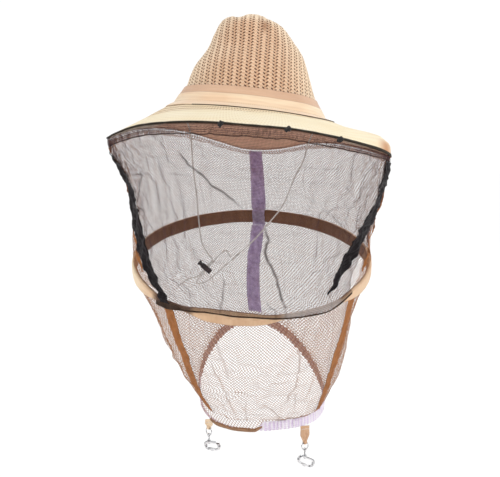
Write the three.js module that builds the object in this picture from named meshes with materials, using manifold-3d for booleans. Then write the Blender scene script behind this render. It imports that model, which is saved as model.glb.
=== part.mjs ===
// Beekeeping veil: a knitted sun hat with a wired brim, an upper veil of fine
// mesh down to a spring-steel hoop, a lower veil that gathers to an elastic
// hem, two strap-and-clasp assemblies at the hem, and a chin cord with a lock.
// Millimetres, +Z up. The wearer faces -Y and the veil hangs from the hat.
// Left and right are as seen from the front: left is -X, right is +X.
// Angles are degrees round from the front (-Y), positive towards the right.
import * as THREE from "three";
import { mergeVertices } from "three/addons/utils/BufferGeometryUtils.js";
import ManifoldModule from "manifold-3d";

const wasm = await ManifoldModule();
wasm.setup();
const { Manifold, Mesh: ManifoldMesh } = wasm;
const { degToRad, radToDeg, lerp, clamp, smoothstep } = THREE.MathUtils;

// ---------------------------------------------------------- shared dimensions
const GAP = 0.35; // clearance between neighbouring pieces
const CROWN_SPANS = 36; // facets round the crown
const RING_SPANS = 48; // facets round the brim, hoop and hem

// hat pose: right side down, rear down
const HAT_ROLL = 4.5;
const HAT_PITCH = 4.5;
// slope of the crown's seat on the brim, in hat coordinates
const SEAT_SLOPE_X = -0.036;
const SEAT_SLOPE_Y = 0.029;
const SEAT_FADE_Z = 70; // the crown has shed the seat's slope at this height

// crown: [height above the head opening, half width left, half width right]
const CROWN = [
  [0, 93, 94], [12, 86.5, 86.5], [25, 80, 79], [40, 76.2, 73.2],
  [55, 70.2, 67.6], [73, 58.6, 60.2], [90, 52, 47.5], [103, 46.6, 36.8],
  [110, 41.5, 26], [114, 32, 17.5], [117.5, 19, 11.5], [119.5, 4, 4.5],
];
const CROWN_DEPTH_RATIO = 1.06; // front-to-back size over side-to-side size
const CROWN_TOP_DEPTH_RATIO = 1.5;
const CROWN_WALL = 2.4;
const [, OPENING_LEFT, OPENING_RIGHT] = CROWN[0];
const OPENING_HALF_WIDTH = (OPENING_LEFT + OPENING_RIGHT) / 2;
const OPENING_CENTRE_X = (OPENING_RIGHT - OPENING_LEFT) / 2;

const BRIM_REACH_LEFT = 170;
const BRIM_REACH_RIGHT = 176;
const BRIM_REACH_FORE_AFT = 182;
const BRIM_THICKNESS = 1.6;
const BRIM_CLEARANCE = 2 * GAP + 1.2; // crown foot to the brim's inner edge
// brim edge height from the head opening, every 15 degrees from the front
// round by the right side
const BRIM_EDGE_Z = [
  -32.5, -32.4, -34.7, -38, -40, -41.5, -40, -33, -24, -17, -17, -26.5,
  -30, -22, -14.5, -15, -22, -34, -43.5, -46.5, -43.5, -37.5, -34, -32.2,
];

const HOOP_RADIUS = 146;
const HOOP_WIRE_RADIUS = 1.2;
const HOOP_TILT = 18.35; // rear up
const HOOP_CENTRE = new THREE.Vector3(2.8, 0, -183.3);
const CASING_HEIGHT = 17;

// hem ring: a saddle-shaped oval, lower at the front
const HEM_HALF_WIDTH = 79;
const HEM_HALF_DEPTH = 75;
const HEM_CENTRE_X = 15.5;
const HEM_LEVEL = { mean: -334.5, frontBack: -50, saddle: 12.5, side: -8, twist: 5 };
const HEM_HEIGHT = 11.5;
const HEM_THICKNESS = 1.8;

// ------------------------------------------------------------------- finishes
const STEEL = { color: 0xb9bcc0, metalness: 1 };
const CHROME = { color: 0xd5d7da, metalness: 1 };
const FINISH = {
  knit: { color: 0xc9a284, roughness: 0.9 },
  ribbon: { color: 0xf0d0ae, roughness: 0.6 },
  sweatband: { color: 0x9a7a64, roughness: 0.7 },
  brim: { color: 0xf3e6c8, roughness: 0.85 },
  brimBinding: { color: 0x6b5d55, roughness: 0.8 },
  darkNet: { color: 0x8f8584, roughness: 0.8 },
  khakiNet: { color: 0xc8b79b, roughness: 0.8 },
  blackTape: { color: 0x3c3638, roughness: 0.7 },
  greyTape: { color: 0x7a6a63, roughness: 0.7 },
  brownTape: { color: 0xa97652, roughness: 0.7 },
  hemBinding: { color: 0xa97652, roughness: 0.75 },
  peachTape: { color: 0xe2bf9f, roughness: 0.7 },
  casing: { color: 0xe2bf9f, roughness: 0.75 },
  lavenderTape: { color: 0x8b7689, roughness: 0.75 },
  tack: { color: 0x35302f, roughness: 0.8 },
  elastic: { color: 0xe8dcea, roughness: 0.8 },
  strap: { color: 0xd9b896, roughness: 0.75 },
  anchor: { color: 0xcdbfae, roughness: 0.8 },
  cord: { color: 0xd8cfc6, roughness: 0.7 },
  lock: { color: 0x1b1b1d, roughness: 0.45 },
  wire: { ...STEEL, roughness: 0.35 },
  ferrule: { ...STEEL, roughness: 0.4 },
  spring: { ...STEEL, roughness: 0.3 },
  ring: { ...CHROME, roughness: 0.2 },
  swivel: { ...CHROME, roughness: 0.22 },
  hook: { ...CHROME, roughness: 0.22 },
  gate: { ...CHROME, roughness: 0.25 },
  pin: { ...CHROME, roughness: 0.3 },
};

// -------------------------------------------------------------------- helpers
const vec = (x, y, z) => new THREE.Vector3(x, y, z);
const rightShare = (angle) => (1 + Math.sin(degToRad(angle))) / 2; // 0 at left, 1 at right
const bell = (x, middle, spread) => Math.exp(-(((x - middle) / spread) ** 2));

// straight-line lookup in rows of [x, value], held level past the ends
function table(rows, x) {
  if (x <= rows[0][0]) return rows[0][1];
  for (let i = 1; i < rows.length; i++) {
    const [x0, value0] = rows[i - 1];
    const [x1, value1] = rows[i];
    if (x <= x1) return lerp(value0, value1, (x - x0) / (x1 - x0));
  }
  return rows[rows.length - 1][1];
}

// smooth (Catmull-Rom) lookup in values evenly spaced round a full turn
function periodic(values, angle) {
  const count = values.length;
  const position = ((((angle % 360) + 360) % 360) / 360) * count;
  const index = Math.floor(position);
  const f = position - index;
  const [a, b, c, d] = [-1, 0, 1, 2].map((k) => values[(index + k + count) % count]);
  const linear = (c - a) * f;
  const square = (2 * a - 5 * b + 4 * c - d) * f * f;
  const cube = (3 * b - a - 3 * c + d) * f * f * f;
  return 0.5 * (2 * b + linear + square + cube);
}

// Gives pointAt(u, v) a unit normal from finite differences. v stays within
// 0..1, and the normal is turned to agree with outward(point).
const surface = (pointAt, stepU, stepV, outward) => (u, v) => {
  const point = pointAt(u, v);
  const alongU = pointAt(u + stepU, v).sub(pointAt(u - stepU, v));
  const alongV = pointAt(u, Math.min(1, v + stepV)).sub(pointAt(u, Math.max(0, v - stepV)));
  const normal = alongU.cross(alongV).normalize();
  if (normal.dot(outward(point)) < 0) normal.negate();
  return { point, normal };
};

// position-only geometry with coincident points shared
function weld(geometry) {
  const bare = geometry.index ? geometry.toNonIndexed() : geometry.clone();
  for (const key of Object.keys(bare.attributes)) {
    if (key !== "position") bare.deleteAttribute(key);
  }
  return mergeVertices(bare, 1e-4);
}

const group = new THREE.Group();
group.name = "beekeeping_veil";

function add(name, geometry, finish) {
  const welded = weld(geometry);
  welded.computeVertexNormals();
  const mesh = new THREE.Mesh(welded, new THREE.MeshStandardMaterial(finish));
  mesh.name = name;
  group.add(mesh);
}

// indexed geometry, wound so that the solid faces outward
function closedMesh(positions, indices) {
  const geometry = new THREE.BufferGeometry();
  const attribute = new THREE.Float32BufferAttribute(positions, 3);
  geometry.setAttribute("position", attribute);
  const corners = [vec(0, 0, 0), vec(0, 0, 0), vec(0, 0, 0)];
  let volume = 0;
  for (let i = 0; i < indices.length; i += 3) {
    corners.forEach((corner, k) => corner.fromBufferAttribute(attribute, indices[i + k]));
    volume += corners[0].dot(corners[1].cross(corners[2]));
  }
  if (volume < 0) {
    for (let i = 0; i < indices.length; i += 3) {
      [indices[i], indices[i + 1]] = [indices[i + 1], indices[i]];
    }
  }
  geometry.setIndex(indices);
  return geometry;
}

// Closed solid between two skins of a surface. surfaceAt(u, v), u and v in
// 0..1, gives {point, normal}; inner and outer are the skins' offsets along
// the normal. closed joins u = 0 to u = 1; pole makes the last row one point.
function sheet(surfaceAt, inner, outer, spansU, spansV, { closed = false, pole = false } = {}) {
  const columns = closed ? spansU : spansU + 1;
  const positions = [];
  const [inside, outside] = [inner, outer].map((offset) => {
    const rows = [];
    for (let j = 0; j <= spansV; j++) {
      const row = [];
      for (let i = 0; i < columns; i++) {
        if (pole && j === spansV && i > 0) {
          row.push(row[0]);
          continue;
        }
        const { point, normal } = surfaceAt(i / spansU, j / spansV);
        row.push(positions.length / 3);
        positions.push(...point.clone().addScaledVector(normal, offset).toArray());
      }
      rows.push(row);
    }
    return rows;
  });
  const indices = [];
  const triangle = (a, b, c) => {
    if (a !== b && b !== c && a !== c) indices.push(a, b, c);
  };
  const quad = (a, b, c, d) => {
    triangle(a, b, c);
    triangle(a, c, d);
  };
  for (let i = 0; i < spansU; i++) {
    const next = (i + 1) % columns;
    for (let j = 0; j < spansV; j++) {
      const [out0, out1, in0, in1] = [outside[j], outside[j + 1], inside[j], inside[j + 1]];
      quad(out0[i], out0[next], out1[next], out1[i]);
      // both skins split along the same diagonal, so the wall stays even
      quad(in0[i], in1[i], in1[next], in0[next]);
    }
    quad(inside[0][i], inside[0][next], outside[0][next], outside[0][i]);
    if (!pole) {
      const [outEnd, inEnd] = [outside[spansV], inside[spansV]];
      quad(outEnd[i], outEnd[next], inEnd[next], inEnd[i]);
    }
  }
  if (!closed) {
    for (let j = 0; j < spansV; j++) {
      const [out0, out1, in0, in1] = [outside[j], outside[j + 1], inside[j], inside[j + 1]];
      quad(out0[0], out1[0], in1[0], in0[0]);
      quad(in0[spansU], in1[spansU], out1[spansU], out0[spansU]);
    }
  }
  return closedMesh(positions, indices);
}

// Constant section swept round a closed loop or along an open run. frameAt(t),
// t in 0..1, gives {point, x, y}; section is counter-clockwise [x, y] corners.
function sweep(frameAt, section, spans, closed = true) {
  const positions = [];
  const indices = [];
  const sides = section.length;
  const stations = closed ? spans : spans + 1;
  for (let i = 0; i < stations; i++) {
    const { point, x, y } = frameAt(i / spans);
    for (const [sx, sy] of section) {
      const corner = point.clone().addScaledVector(x, sx).addScaledVector(y, sy);
      positions.push(...corner.toArray());
    }
  }
  for (let i = 0; i < spans; i++) {
    const here = i * sides;
    const next = ((i + 1) % stations) * sides;
    for (let k = 0; k < sides; k++) {
      const k2 = (k + 1) % sides;
      indices.push(here + k, here + k2, next + k2, here + k, next + k2, next + k);
    }
  }
  if (!closed) {
    const contour = section.map(([x, y]) => new THREE.Vector2(x, y));
    const end = spans * sides;
    for (const [a, b, c] of THREE.ShapeUtils.triangulateShape(contour, [])) {
      indices.push(c, b, a, end + a, end + b, end + c);
    }
  }
  return closedMesh(positions, indices);
}

// part of a frame function of angle, as a function of t in 0..1
const arc = (frameAt, from, to) => (t) => frameAt(lerp(from, to, t));
const fullTurn = (frameAt) => arc(frameAt, 0, 360);

function disc(radius, sides) {
  return Array.from({ length: sides }, (_, i) => {
    const angle = (2 * Math.PI * i) / sides;
    return [radius * Math.cos(angle), radius * Math.sin(angle)];
  });
}

// round rod along a smooth curve through points
function roundSweep(points, radius, sides, spans) {
  const curve = new THREE.CatmullRomCurve3(points);
  const { normals, binormals } = curve.computeFrenetFrames(spans, false);
  const frameAt = (t) => {
    const i = Math.round(t * spans);
    return { point: curve.getPointAt(t), x: normals[i], y: binormals[i] };
  };
  return sweep(frameAt, disc(radius, sides), spans, false);
}

function toManifold(geometry) {
  const welded = weld(geometry);
  return Manifold.ofMesh(new ManifoldMesh({
    numProp: 3,
    vertProperties: new Float32Array(welded.attributes.position.array),
    triVerts: new Uint32Array(welded.index.array),
  }));
}
function fromManifold(solid) {
  const mesh = solid.getMesh();
  const geometry = new THREE.BufferGeometry();
  geometry.setAttribute("position", new THREE.BufferAttribute(mesh.vertProperties, 3));
  geometry.setIndex(Array.from(mesh.triVerts));
  return geometry;
}
const union = (...parts) => fromManifold(parts.map(toManifold).reduce((a, b) => a.add(b)));
const cut = (body, ...tools) =>
  fromManifold(tools.map(toManifold).reduce((rest, tool) => rest.subtract(tool), toManifold(body)));

// cylinders along each axis
const rodY = (radius, length, sides) => new THREE.CylinderGeometry(radius, radius, length, sides);
const rodX = (radius, length, sides) => rodY(radius, length, sides).rotateZ(Math.PI / 2);
const rodZ = (radius, length, sides) => rodY(radius, length, sides).rotateX(Math.PI / 2);

// flat plate in the XZ plane, centred on y = 0, from [x, z] corners
function plate(outline, thickness) {
  const shape = new THREE.Shape(outline.map(([x, z]) => new THREE.Vector2(x, z)));
  return new THREE.ExtrudeGeometry(shape, { depth: thickness, bevelEnabled: false })
    .rotateX(Math.PI / 2)
    .translate(0, thickness / 2, 0);
}
const rectangle = (x0, x1, z0, z1) => [[x0, z0], [x1, z0], [x1, z1], [x0, z1]];

// ------------------------------------------------------------------ hat frame
const roll = degToRad(HAT_ROLL);
const pitch = degToRad(HAT_PITCH);
const hatX = vec(Math.cos(roll), 0, -Math.sin(roll));
const hatY = vec(0, Math.cos(pitch), -Math.sin(pitch));
hatY.addScaledVector(hatX, -hatY.dot(hatX)).normalize();
const hatMatrix = new THREE.Matrix4().makeBasis(hatX, hatY, hatX.clone().cross(hatY));
const toHat = (point) => point.clone().applyMatrix4(hatMatrix);
const onHat = ({ point, normal }) => ({
  point: toHat(point),
  normal: normal.clone().transformDirection(hatMatrix),
});
const seatZ = (x, y) => SEAT_SLOPE_X * x + SEAT_SLOPE_Y * y;
const crownSeatZ = (x, y, z) => seatZ(x, y) * (1 - smoothstep(z, 0, SEAT_FADE_Z));

// ---------------------------------------------------------------------- crown
// u is the share of a turn from the front; v runs up through the CROWN rows
function crownPoint(u, v) {
  const position = v * (CROWN.length - 1);
  const index = Math.min(Math.floor(position), CROWN.length - 2);
  const above = CROWN[index + 1];
  const [z, left, right] = CROWN[index].map((low, k) => lerp(low, above[k], position - index));
  const half = (left + right) / 2;
  const angle = 2 * Math.PI * u;
  const x = (right - left) / 2 + half * Math.sin(angle);
  // the top is longer than wide
  const ratio = lerp(CROWN_DEPTH_RATIO, CROWN_TOP_DEPTH_RATIO, smoothstep(z, 95, 107));
  const y = -half * ratio * Math.cos(angle);
  // crease along the top and a pinch at the front
  const crease = 4.5 * bell(x, -21, 6) * smoothstep(z, 100, 110) * bell(y, 0, 42);
  const pinch = 7 * bell(x, 9, 9) * bell(z, 98, 16) * smoothstep(-y, 0, 20);
  return vec(x, y + pinch, z - crease + crownSeatZ(x, y, z));
}
const crownAt = surface(crownPoint, 1e-3, 1e-3, ({ x, y }) => vec(x, y, 20));

function addCrown() {
  const wall = (u, v) => onHat(crownAt(u, v));
  const solid = sheet(wall, -CROWN_WALL, 0, CROWN_SPANS, 12, { closed: true, pole: true });
  add("crown_knit", solid, FINISH.knit);
}

// ribbon round the lower crown; it shares the crown's columns, so facets stay parallel
function addHatBand() {
  const [bottom, top, thickness] = [1.5, 22, 1.1];
  const heightToV = CROWN.map(([z], i) => [z, i / (CROWN.length - 1)]);
  const band = (u, v) => onHat(crownAt(u, table(heightToV, lerp(bottom, top, v))));
  const solid = sheet(band, GAP, GAP + thickness, CROWN_SPANS, 2, { closed: true });
  add("hat_band", solid, FINISH.ribbon);
}

// upright ring just inside the head opening, with a flat lower rim
function addSweatband() {
  const [bottom, top, thickness] = [-1.2, 24, 1.4];
  const clearance = 1.7; // from the crown's inner face
  const halfWidths = CROWN.map(([z, left, right]) => [z, (left + right) / 2]);
  const wall = (u, v) => {
    const angle = 2 * Math.PI * u;
    const z = lerp(bottom, top, v);
    const radius = table(halfWidths, z) - CROWN_WALL - clearance;
    const x = OPENING_CENTRE_X + radius * Math.sin(angle);
    const y = -radius * CROWN_DEPTH_RATIO * Math.cos(angle);
    const normal = vec(Math.sin(angle), -Math.cos(angle), 0);
    if (z < 0) normal.z = seatZ(normal.x, normal.y); // keeps the lower rim in one plane
    return onHat({ point: vec(x, y, z + crownSeatZ(x, y, z)), normal });
  };
  const solid = sheet(wall, -thickness, 0, CROWN_SPANS, 2, { closed: true });
  add("sweatband", solid, FINISH.sweatband);
}

// ----------------------------------------------------------------------- brim
// curled profile near the right side: [way out, share of reach or of drop]
const CURL_REACH = [[0, 0], [0.3, 0.32], [0.6, 0.66], [0.75, 0.81], [0.9, 0.965], [1, 1]];
const CURL_DROP = [[0, 0], [0.3, 0.2], [0.6, 0.3], [0.75, 0.37], [0.9, 0.62], [1, 1]];
const CURL_ANGLE = 88;
const CURL_SPREAD = 42;

// out runs from 0 at the crown to 1 at the edge
function brimPoint(angle, out) {
  const sin = Math.sin(degToRad(angle));
  const cos = Math.cos(degToRad(angle));
  const innerX = OPENING_CENTRE_X + (OPENING_HALF_WIDTH + BRIM_CLEARANCE) * sin;
  const innerY = -(OPENING_HALF_WIDTH * CROWN_DEPTH_RATIO + BRIM_CLEARANCE) * cos;
  const outerX = lerp(BRIM_REACH_LEFT, BRIM_REACH_RIGHT, rightShare(angle)) * sin;
  const outerY = -BRIM_REACH_FORE_AFT * cos;
  const curl = bell((((angle % 360) + 540) % 360) - 180, CURL_ANGLE, CURL_SPREAD);
  const reach = lerp(out, table(CURL_REACH, out), curl);
  const drop = lerp(Math.pow(out, 0.95), table(CURL_DROP, out), curl);
  return vec(
    lerp(innerX, outerX, reach),
    lerp(innerY, outerY, reach),
    lerp(seatZ(innerX, innerY), periodic(BRIM_EDGE_Z, angle), drop),
  );
}
const brimSurface = surface(brimPoint, 0.4, 0.01, () => vec(0, 0, 1));
const brimAt = (angle, out) => onHat(brimSurface(angle, out));

// frame on the brim edge: x outward, y the brim's upper normal
function brimEdgeFrame(angle) {
  const { point, normal } = brimAt(angle, 1);
  const tangent = brimAt(angle + 0.5, 1).point.sub(brimAt(angle - 0.5, 1).point).normalize();
  const outward = normal.clone().cross(tangent);
  if (outward.dot(point) < 0) outward.negate();
  return { point, x: outward, y: normal };
}

function addBrim() {
  const rows = [0, 0.25, 0.5, 0.7, 0.8, 0.9, 0.965]; // stops short of the binding's fold
  const spans = rows.length - 1;
  const half = BRIM_THICKNESS / 2;
  const at = (u, v) => brimAt(360 * u, rows[Math.round(v * spans)]);
  add("brim", sheet(at, -half, half, RING_SPANS, spans, { closed: true }), FINISH.brim);
}

// strip folded round the brim edge
function addBrimBinding() {
  const width = 4;
  const inner = BRIM_THICKNESS / 2 + GAP + 0.25;
  const outer = inner + 0.7;
  const section = [
    [-width, -outer], [0.2, -outer], [1.6, 0], [0.2, outer], [-width, outer],
    [-width, inner], [-0.3, inner], [0.5, 0], [-0.3, -inner], [-width, -inner],
  ];
  const solid = sweep(fullTurn(brimEdgeFrame), section, RING_SPANS);
  add("brim_edge_binding", solid, FINISH.brimBinding);
}

// wire in the fold of the binding
function addBrimWire() {
  const [radius, inset] = [0.6, 1.15];
  const frameAt = (angle) => {
    const frame = brimEdgeFrame(angle);
    frame.point.addScaledVector(frame.x, -inset);
    return frame;
  };
  add("brim_edge_wire", sweep(fullTurn(frameAt), disc(radius, 5), RING_SPANS), FINISH.wire);
}

// flattened thread tack on the outside of the brim edge
function addTack(name, angle) {
  const { point, x: outward } = brimEdgeFrame(angle);
  const facing = new THREE.Quaternion().setFromUnitVectors(vec(0, 1, 0), outward);
  const centre = point.clone().addScaledVector(outward, 2.9);
  const solid = new THREE.SphereGeometry(2.4, 8, 6)
    .scale(1.3, 0.3, 1)
    .applyQuaternion(facing)
    .translate(...centre.toArray());
  add(name, solid, FINISH.tack);
}

// ------------------------------------------------------------- hoop and hem
const tilt = degToRad(HOOP_TILT);
const HOOP_REARWARD = vec(0, Math.cos(tilt), Math.sin(tilt));
const HOOP_UP = vec(0, -Math.sin(tilt), Math.cos(tilt));

function hoopPoint(angle, up = 0) {
  const t = degToRad(angle);
  return HOOP_CENTRE.clone()
    .addScaledVector(vec(1, 0, 0), HOOP_RADIUS * Math.sin(t))
    .addScaledVector(HOOP_REARWARD, -HOOP_RADIUS * Math.cos(t))
    .addScaledVector(HOOP_UP, up);
}
function hoopFrame(angle) {
  const point = hoopPoint(angle);
  return { point, x: point.clone().sub(HOOP_CENTRE).normalize(), y: HOOP_UP };
}

function hemPoint(angle) {
  const t = degToRad(angle);
  const { mean, frontBack, saddle, side, twist } = HEM_LEVEL;
  const z = mean + frontBack * Math.cos(t) + saddle * Math.cos(2 * t)
    + side * Math.sin(t) + twist * Math.sin(2 * t);
  return vec(HEM_CENTRE_X + HEM_HALF_WIDTH * Math.sin(t), -HEM_HALF_DEPTH * Math.cos(t), z);
}
// x outward and level, y upward
function hemFrame(angle) {
  const point = hemPoint(angle);
  const tangent = hemPoint(angle + 0.5).sub(hemPoint(angle - 0.5)).normalize();
  const x = tangent.clone().cross(vec(0, 0, 1)).normalize();
  if (x.dot(vec(point.x - HEM_CENTRE_X, point.y, 0)) < 0) x.negate();
  const y = tangent.clone().cross(x).normalize();
  if (y.z < 0) y.negate();
  return { point, x, y };
}

// the wire is one length, with a small gap between its ends at the rear
function addHoopWire(sleeve) {
  const halfGap = 0.6; // degrees
  const step = 360 / RING_SPANS;
  const angles = [180 + halfGap, 180 + sleeve + 0.6];
  for (let angle = 180 + step; angle < 540 - 1; angle += step) angles.push(angle);
  angles.push(540 - sleeve - 0.6, 540 - halfGap);
  const spans = angles.length - 1;
  const frameAt = (t) => hoopFrame(angles[Math.round(t * spans)]);
  add("hoop_wire", sweep(frameAt, disc(HOOP_WIRE_RADIUS, 6), spans, false), FINISH.wire);
}

// crimped sleeve that bridges the wire's two ends
function addFerrule(sleeve) {
  const tube = (reach, radius) =>
    sweep(arc(hoopFrame, 180 - reach, 180 + reach), disc(radius, 12), 4, false);
  const outer = tube(sleeve, HOOP_WIRE_RADIUS + 0.75);
  const bore = tube(sleeve * 1.2, HOOP_WIRE_RADIUS + 0.42);
  add("hoop_ferrule", cut(outer, bore), FINISH.ferrule);
}

// band folded over the hoop, open below
function addHoopCasing() {
  const thickness = 0.6;
  const inner = 2.6;
  const outer = inner + thickness;
  const half = CASING_HEIGHT / 2;
  const section = [
    [inner, -half], [outer, -half], [outer, half], [-outer, half],
    [-outer, -half], [-inner, -half], [-inner, half - thickness], [inner, half - thickness],
  ];
  add("hoop_casing", sweep(fullTurn(hoopFrame), section, RING_SPANS), FINISH.casing);
}

function addHemElastic() {
  const section = rectangle(
    -HEM_THICKNESS / 2, HEM_THICKNESS / 2, -HEM_HEIGHT / 2, HEM_HEIGHT / 2,
  );
  add("hem_elastic", sweep(fullTurn(hemFrame), section, RING_SPANS), FINISH.elastic);
}

// fabric edge folded under the front-left run of the elastic, open above
function addHemBinding() {
  const thickness = 0.7;
  const inner = HEM_THICKNESS / 2 + GAP;
  const outer = inner + thickness;
  const bottom = -HEM_HEIGHT / 2 - 0.4 - thickness;
  const floor = bottom + thickness;
  const top = HEM_HEIGHT / 2 - 5;
  const section = [
    [outer, top], [inner, top], [inner, floor], [-inner, floor],
    [-inner, top], [-outer, top], [-outer, bottom], [outer, bottom],
  ];
  const solid = sweep(arc(hemFrame, -52.5, 0), section, 7, false);
  add("hem_binding", solid, FINISH.hemBinding);
}

// -------------------------------------------------------------- veil surfaces
const EDGE_TO_VEIL = 3.3; // the veil starts this far below the brim edge
const VEIL_SEAT = 0.9; // lower veil's distance from the hoop casing and hem elastic

// how fast the upper veil draws in: [way down, share of the draw]
const DRAW_LEFT = [
  [0, 0], [0.1, 0.17], [0.18, 0.45], [0.28, 0.68], [0.4, 0.84], [0.52, 0.98],
  [0.7, 1.04], [1, 1],
];
const DRAW_RIGHT = [
  [0, 0], [0.12, 0.08], [0.25, 0.22], [0.4, 0.45], [0.58, 0.78], [0.75, 0.97], [1, 1],
];
// fullness of the lower veil
const FULLNESS_LEFT = 0.14;
const FULLNESS_RIGHT = 0.22;

const between = (a, b, inward, down) =>
  vec(lerp(a.x, b.x, inward), lerp(a.y, b.y, inward), lerp(a.z, b.z, down));

// v is 0 under the brim edge and 1 just above the hoop casing
function upperPoint(angle, v) {
  const { point, normal } = brimAt(angle, 1);
  const top = point.addScaledVector(normal, -EDGE_TO_VEIL);
  const bottom = hoopPoint(angle, CASING_HEIGHT / 2 + 0.6 + GAP);
  const draw = lerp(table(DRAW_LEFT, v), table(DRAW_RIGHT, v), rightShare(angle));
  // front and rear hang straighter
  const sideWeight = 0.35 + 0.65 * Math.abs(Math.sin(degToRad(angle)));
  return between(top, bottom, lerp(v, draw, sideWeight), v);
}
// v is 0 just below the hoop casing and 1 just above the hem elastic
function lowerPoint(angle, v) {
  const top = hoopPoint(angle, -CASING_HEIGHT / 2 - VEIL_SEAT);
  const hem = hemFrame(angle);
  const bottom = hem.point.addScaledVector(hem.y, HEM_HEIGHT / 2 + VEIL_SEAT);
  const fullness = lerp(FULLNESS_LEFT, FULLNESS_RIGHT, rightShare(angle));
  return between(top, bottom, v - fullness * Math.sin(Math.PI * v), v);
}
const veilSurface = (pointAt) => surface(pointAt, 0.5, 0.01, ({ x, y }) => vec(x - 2, y, 0));

// each veil: its surface, and the x of the axis that strip widths turn about
const UPPER = { at: veilSurface(upperPoint), axisX: () => 0 };
const LOWER = {
  at: veilSurface(lowerPoint),
  axisX: (v) => lerp(HOOP_CENTRE.x, HEM_CENTRE_X, v),
};

// ------------------------------------------------------------- nets and tapes
// paths down each veil: [way down, angle]
const SEAM_LEFT = [
  [0, -84], [0.3, -84], [0.55, -80], [0.75, -71], [0.9, -60], [0.96, -53.5], [1, -47],
];
const SEAM_RIGHT = [[0, 84], [0.25, 88], [0.45, 82], [0.65, 74], [0.85, 65], [1, 54]];
const FRONT_TAPE_RIGHT = [[0, 80], [0.2, 82], [0.4, 73], [0.6, 61], [0.8, 45], [1, 31]];
const LOWER_SEAM_LEFT = [[0, -41], [0.2, -39], [0.4, -38], [0.63, -41.5], [0.8, -46], [1, -51]];
const LOWER_SEAM_RIGHT = [
  [0, 52], [0.25, 48.5], [0.43, 46.5], [0.63, 47.5], [0.8, 51], [1, 57],
];
const REAR_SEAM_UPPER = [[0, 176], [1, 176]];
const REAR_SEAM_LOWER = [[0, 176], [1, 186]];

const NET_THICKNESS = 0.5; // modelled thickness of one mesh layer
const SEAM_GAP = 0.25; // degrees from a net's edge to the seam
const TAPE_INNER = NET_THICKNESS / 2 + GAP + 0.7; // tapes lie clear of the net's facets
const TAPE_OUTER = TAPE_INNER + 0.6;
const OUTSIDE = [TAPE_INNER, TAPE_OUTER];
const INSIDE = [-TAPE_OUTER, -TAPE_INNER];
const INSIDE_DEEPER = INSIDE.map((offset) => offset - 0.6);
const TOP_TAPE_END = 7.5 / 150; // tape width over a nominal veil height
const SIDE_TAPE_START = TOP_TAPE_END + 0.008;
const FRONT_TAPE_WIDTH = 16;
const REAR_TAPE_WIDTH = 9;
const SEAM_TAPE_WIDTH = 18;

const leftSeam = (v) => table(SEAM_LEFT, v);
const rightSeam = (v) => table(SEAM_RIGHT, v);
const lowerLeftSeam = (v) => table(LOWER_SEAM_LEFT, v);
const lowerRightSeam = (v) => table(LOWER_SEAM_RIGHT, v);
// the slit on the right: the front net's edge pulls away from the seam
const slit = (v) => 7.5 * smoothstep(v, 0.72, 0.84) * (1 - smoothstep(v, 0.93, 1) * 0.6);

// the veil between two angles, each a function of v
function panel(veil, startAt, endAt, v0 = 0, v1 = 1) {
  return (u, w) => {
    const v = lerp(v0, v1, w);
    return veil.at(lerp(startAt(v), endAt(v), u), v);
  };
}
function addNet(name, finish, veil, startAt, endAt, spans, rows) {
  const inset = panel(veil, (v) => startAt(v) + SEAM_GAP, (v) => endAt(v) - SEAM_GAP);
  add(name, sheet(inset, -NET_THICKNESS / 2, NET_THICKNESS / 2, spans, rows), finish);
}

// level tape outside the upper veil
function addLevelTape(name, finish, { start, end, from, to, spans }) {
  const at = panel(UPPER, () => start, () => end, from, to);
  add(name, sheet(at, ...OUTSIDE, spans, 1), finish);
}

// tape of constant width down a path; shift moves it sideways, in millimetres
function addTape(name, finish, veil, options) {
  const { path, from, to, width, shift = 0, layer = OUTSIDE, spans, rows } = options;
  const at = (u, w) => {
    const v = lerp(from, to, w);
    const angle = table(path, v);
    const { point } = veil.at(angle, v);
    const radius = Math.hypot(point.x - veil.axisX(v), point.y);
    return veil.at(angle + radToDeg(((u - 0.5) * width + shift) / radius), v);
  };
  add(name, sheet(at, ...layer, spans, rows), finish);
}

function addUpperVeil() {
  const frontEnd = (v) => rightSeam(v) - slit(v);
  const rearEnd = (v) => leftSeam(v) + 360;
  addNet("front_net", FINISH.darkNet, UPPER, leftSeam, frontEnd, 20, 8);
  addNet("rear_net", FINISH.khakiNet, UPPER, rightSeam, rearEnd, 24, 8);

  const top = { from: 0.004, to: TOP_TAPE_END };
  const side = { from: SIDE_TAPE_START, to: 0.93, rows: 10 };
  const front = { ...side, width: FRONT_TAPE_WIDTH, spans: 3 };
  const rear = { ...side, width: REAR_TAPE_WIDTH, spans: 1 };
  addLevelTape("front_net_top_tape", FINISH.blackTape,
    { ...top, start: leftSeam(0) + 1, end: rightSeam(0) - 1, spans: 20 });
  addTape("front_net_left_tape", FINISH.blackTape, UPPER,
    { ...front, path: SEAM_LEFT, shift: 9.5 });
  addTape("front_net_right_tape", FINISH.blackTape, UPPER,
    { ...front, path: FRONT_TAPE_RIGHT });
  addLevelTape("front_net_bottom_tape", FINISH.greyTape,
    { start: leftSeam(1) + 1, end: rightSeam(1) - 6, from: 0.94, to: 0.998, spans: 16 });
  addTape("rear_net_left_tape", FINISH.brownTape, UPPER,
    { ...rear, path: SEAM_LEFT, shift: -8 });
  addTape("rear_net_right_tape", FINISH.brownTape, UPPER,
    { ...rear, path: SEAM_RIGHT, shift: 8 });
  addLevelTape("rear_net_top_tape", FINISH.peachTape,
    { ...top, start: rightSeam(0) + 1, end: leftSeam(0) + 359, spans: 24 });
  addTape("rear_seam_tape_upper", FINISH.lavenderTape, UPPER, {
    path: REAR_SEAM_UPPER, from: 0.01, to: 0.985,
    width: SEAM_TAPE_WIDTH, layer: INSIDE_DEEPER, spans: 3, rows: 10,
  });
}

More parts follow.
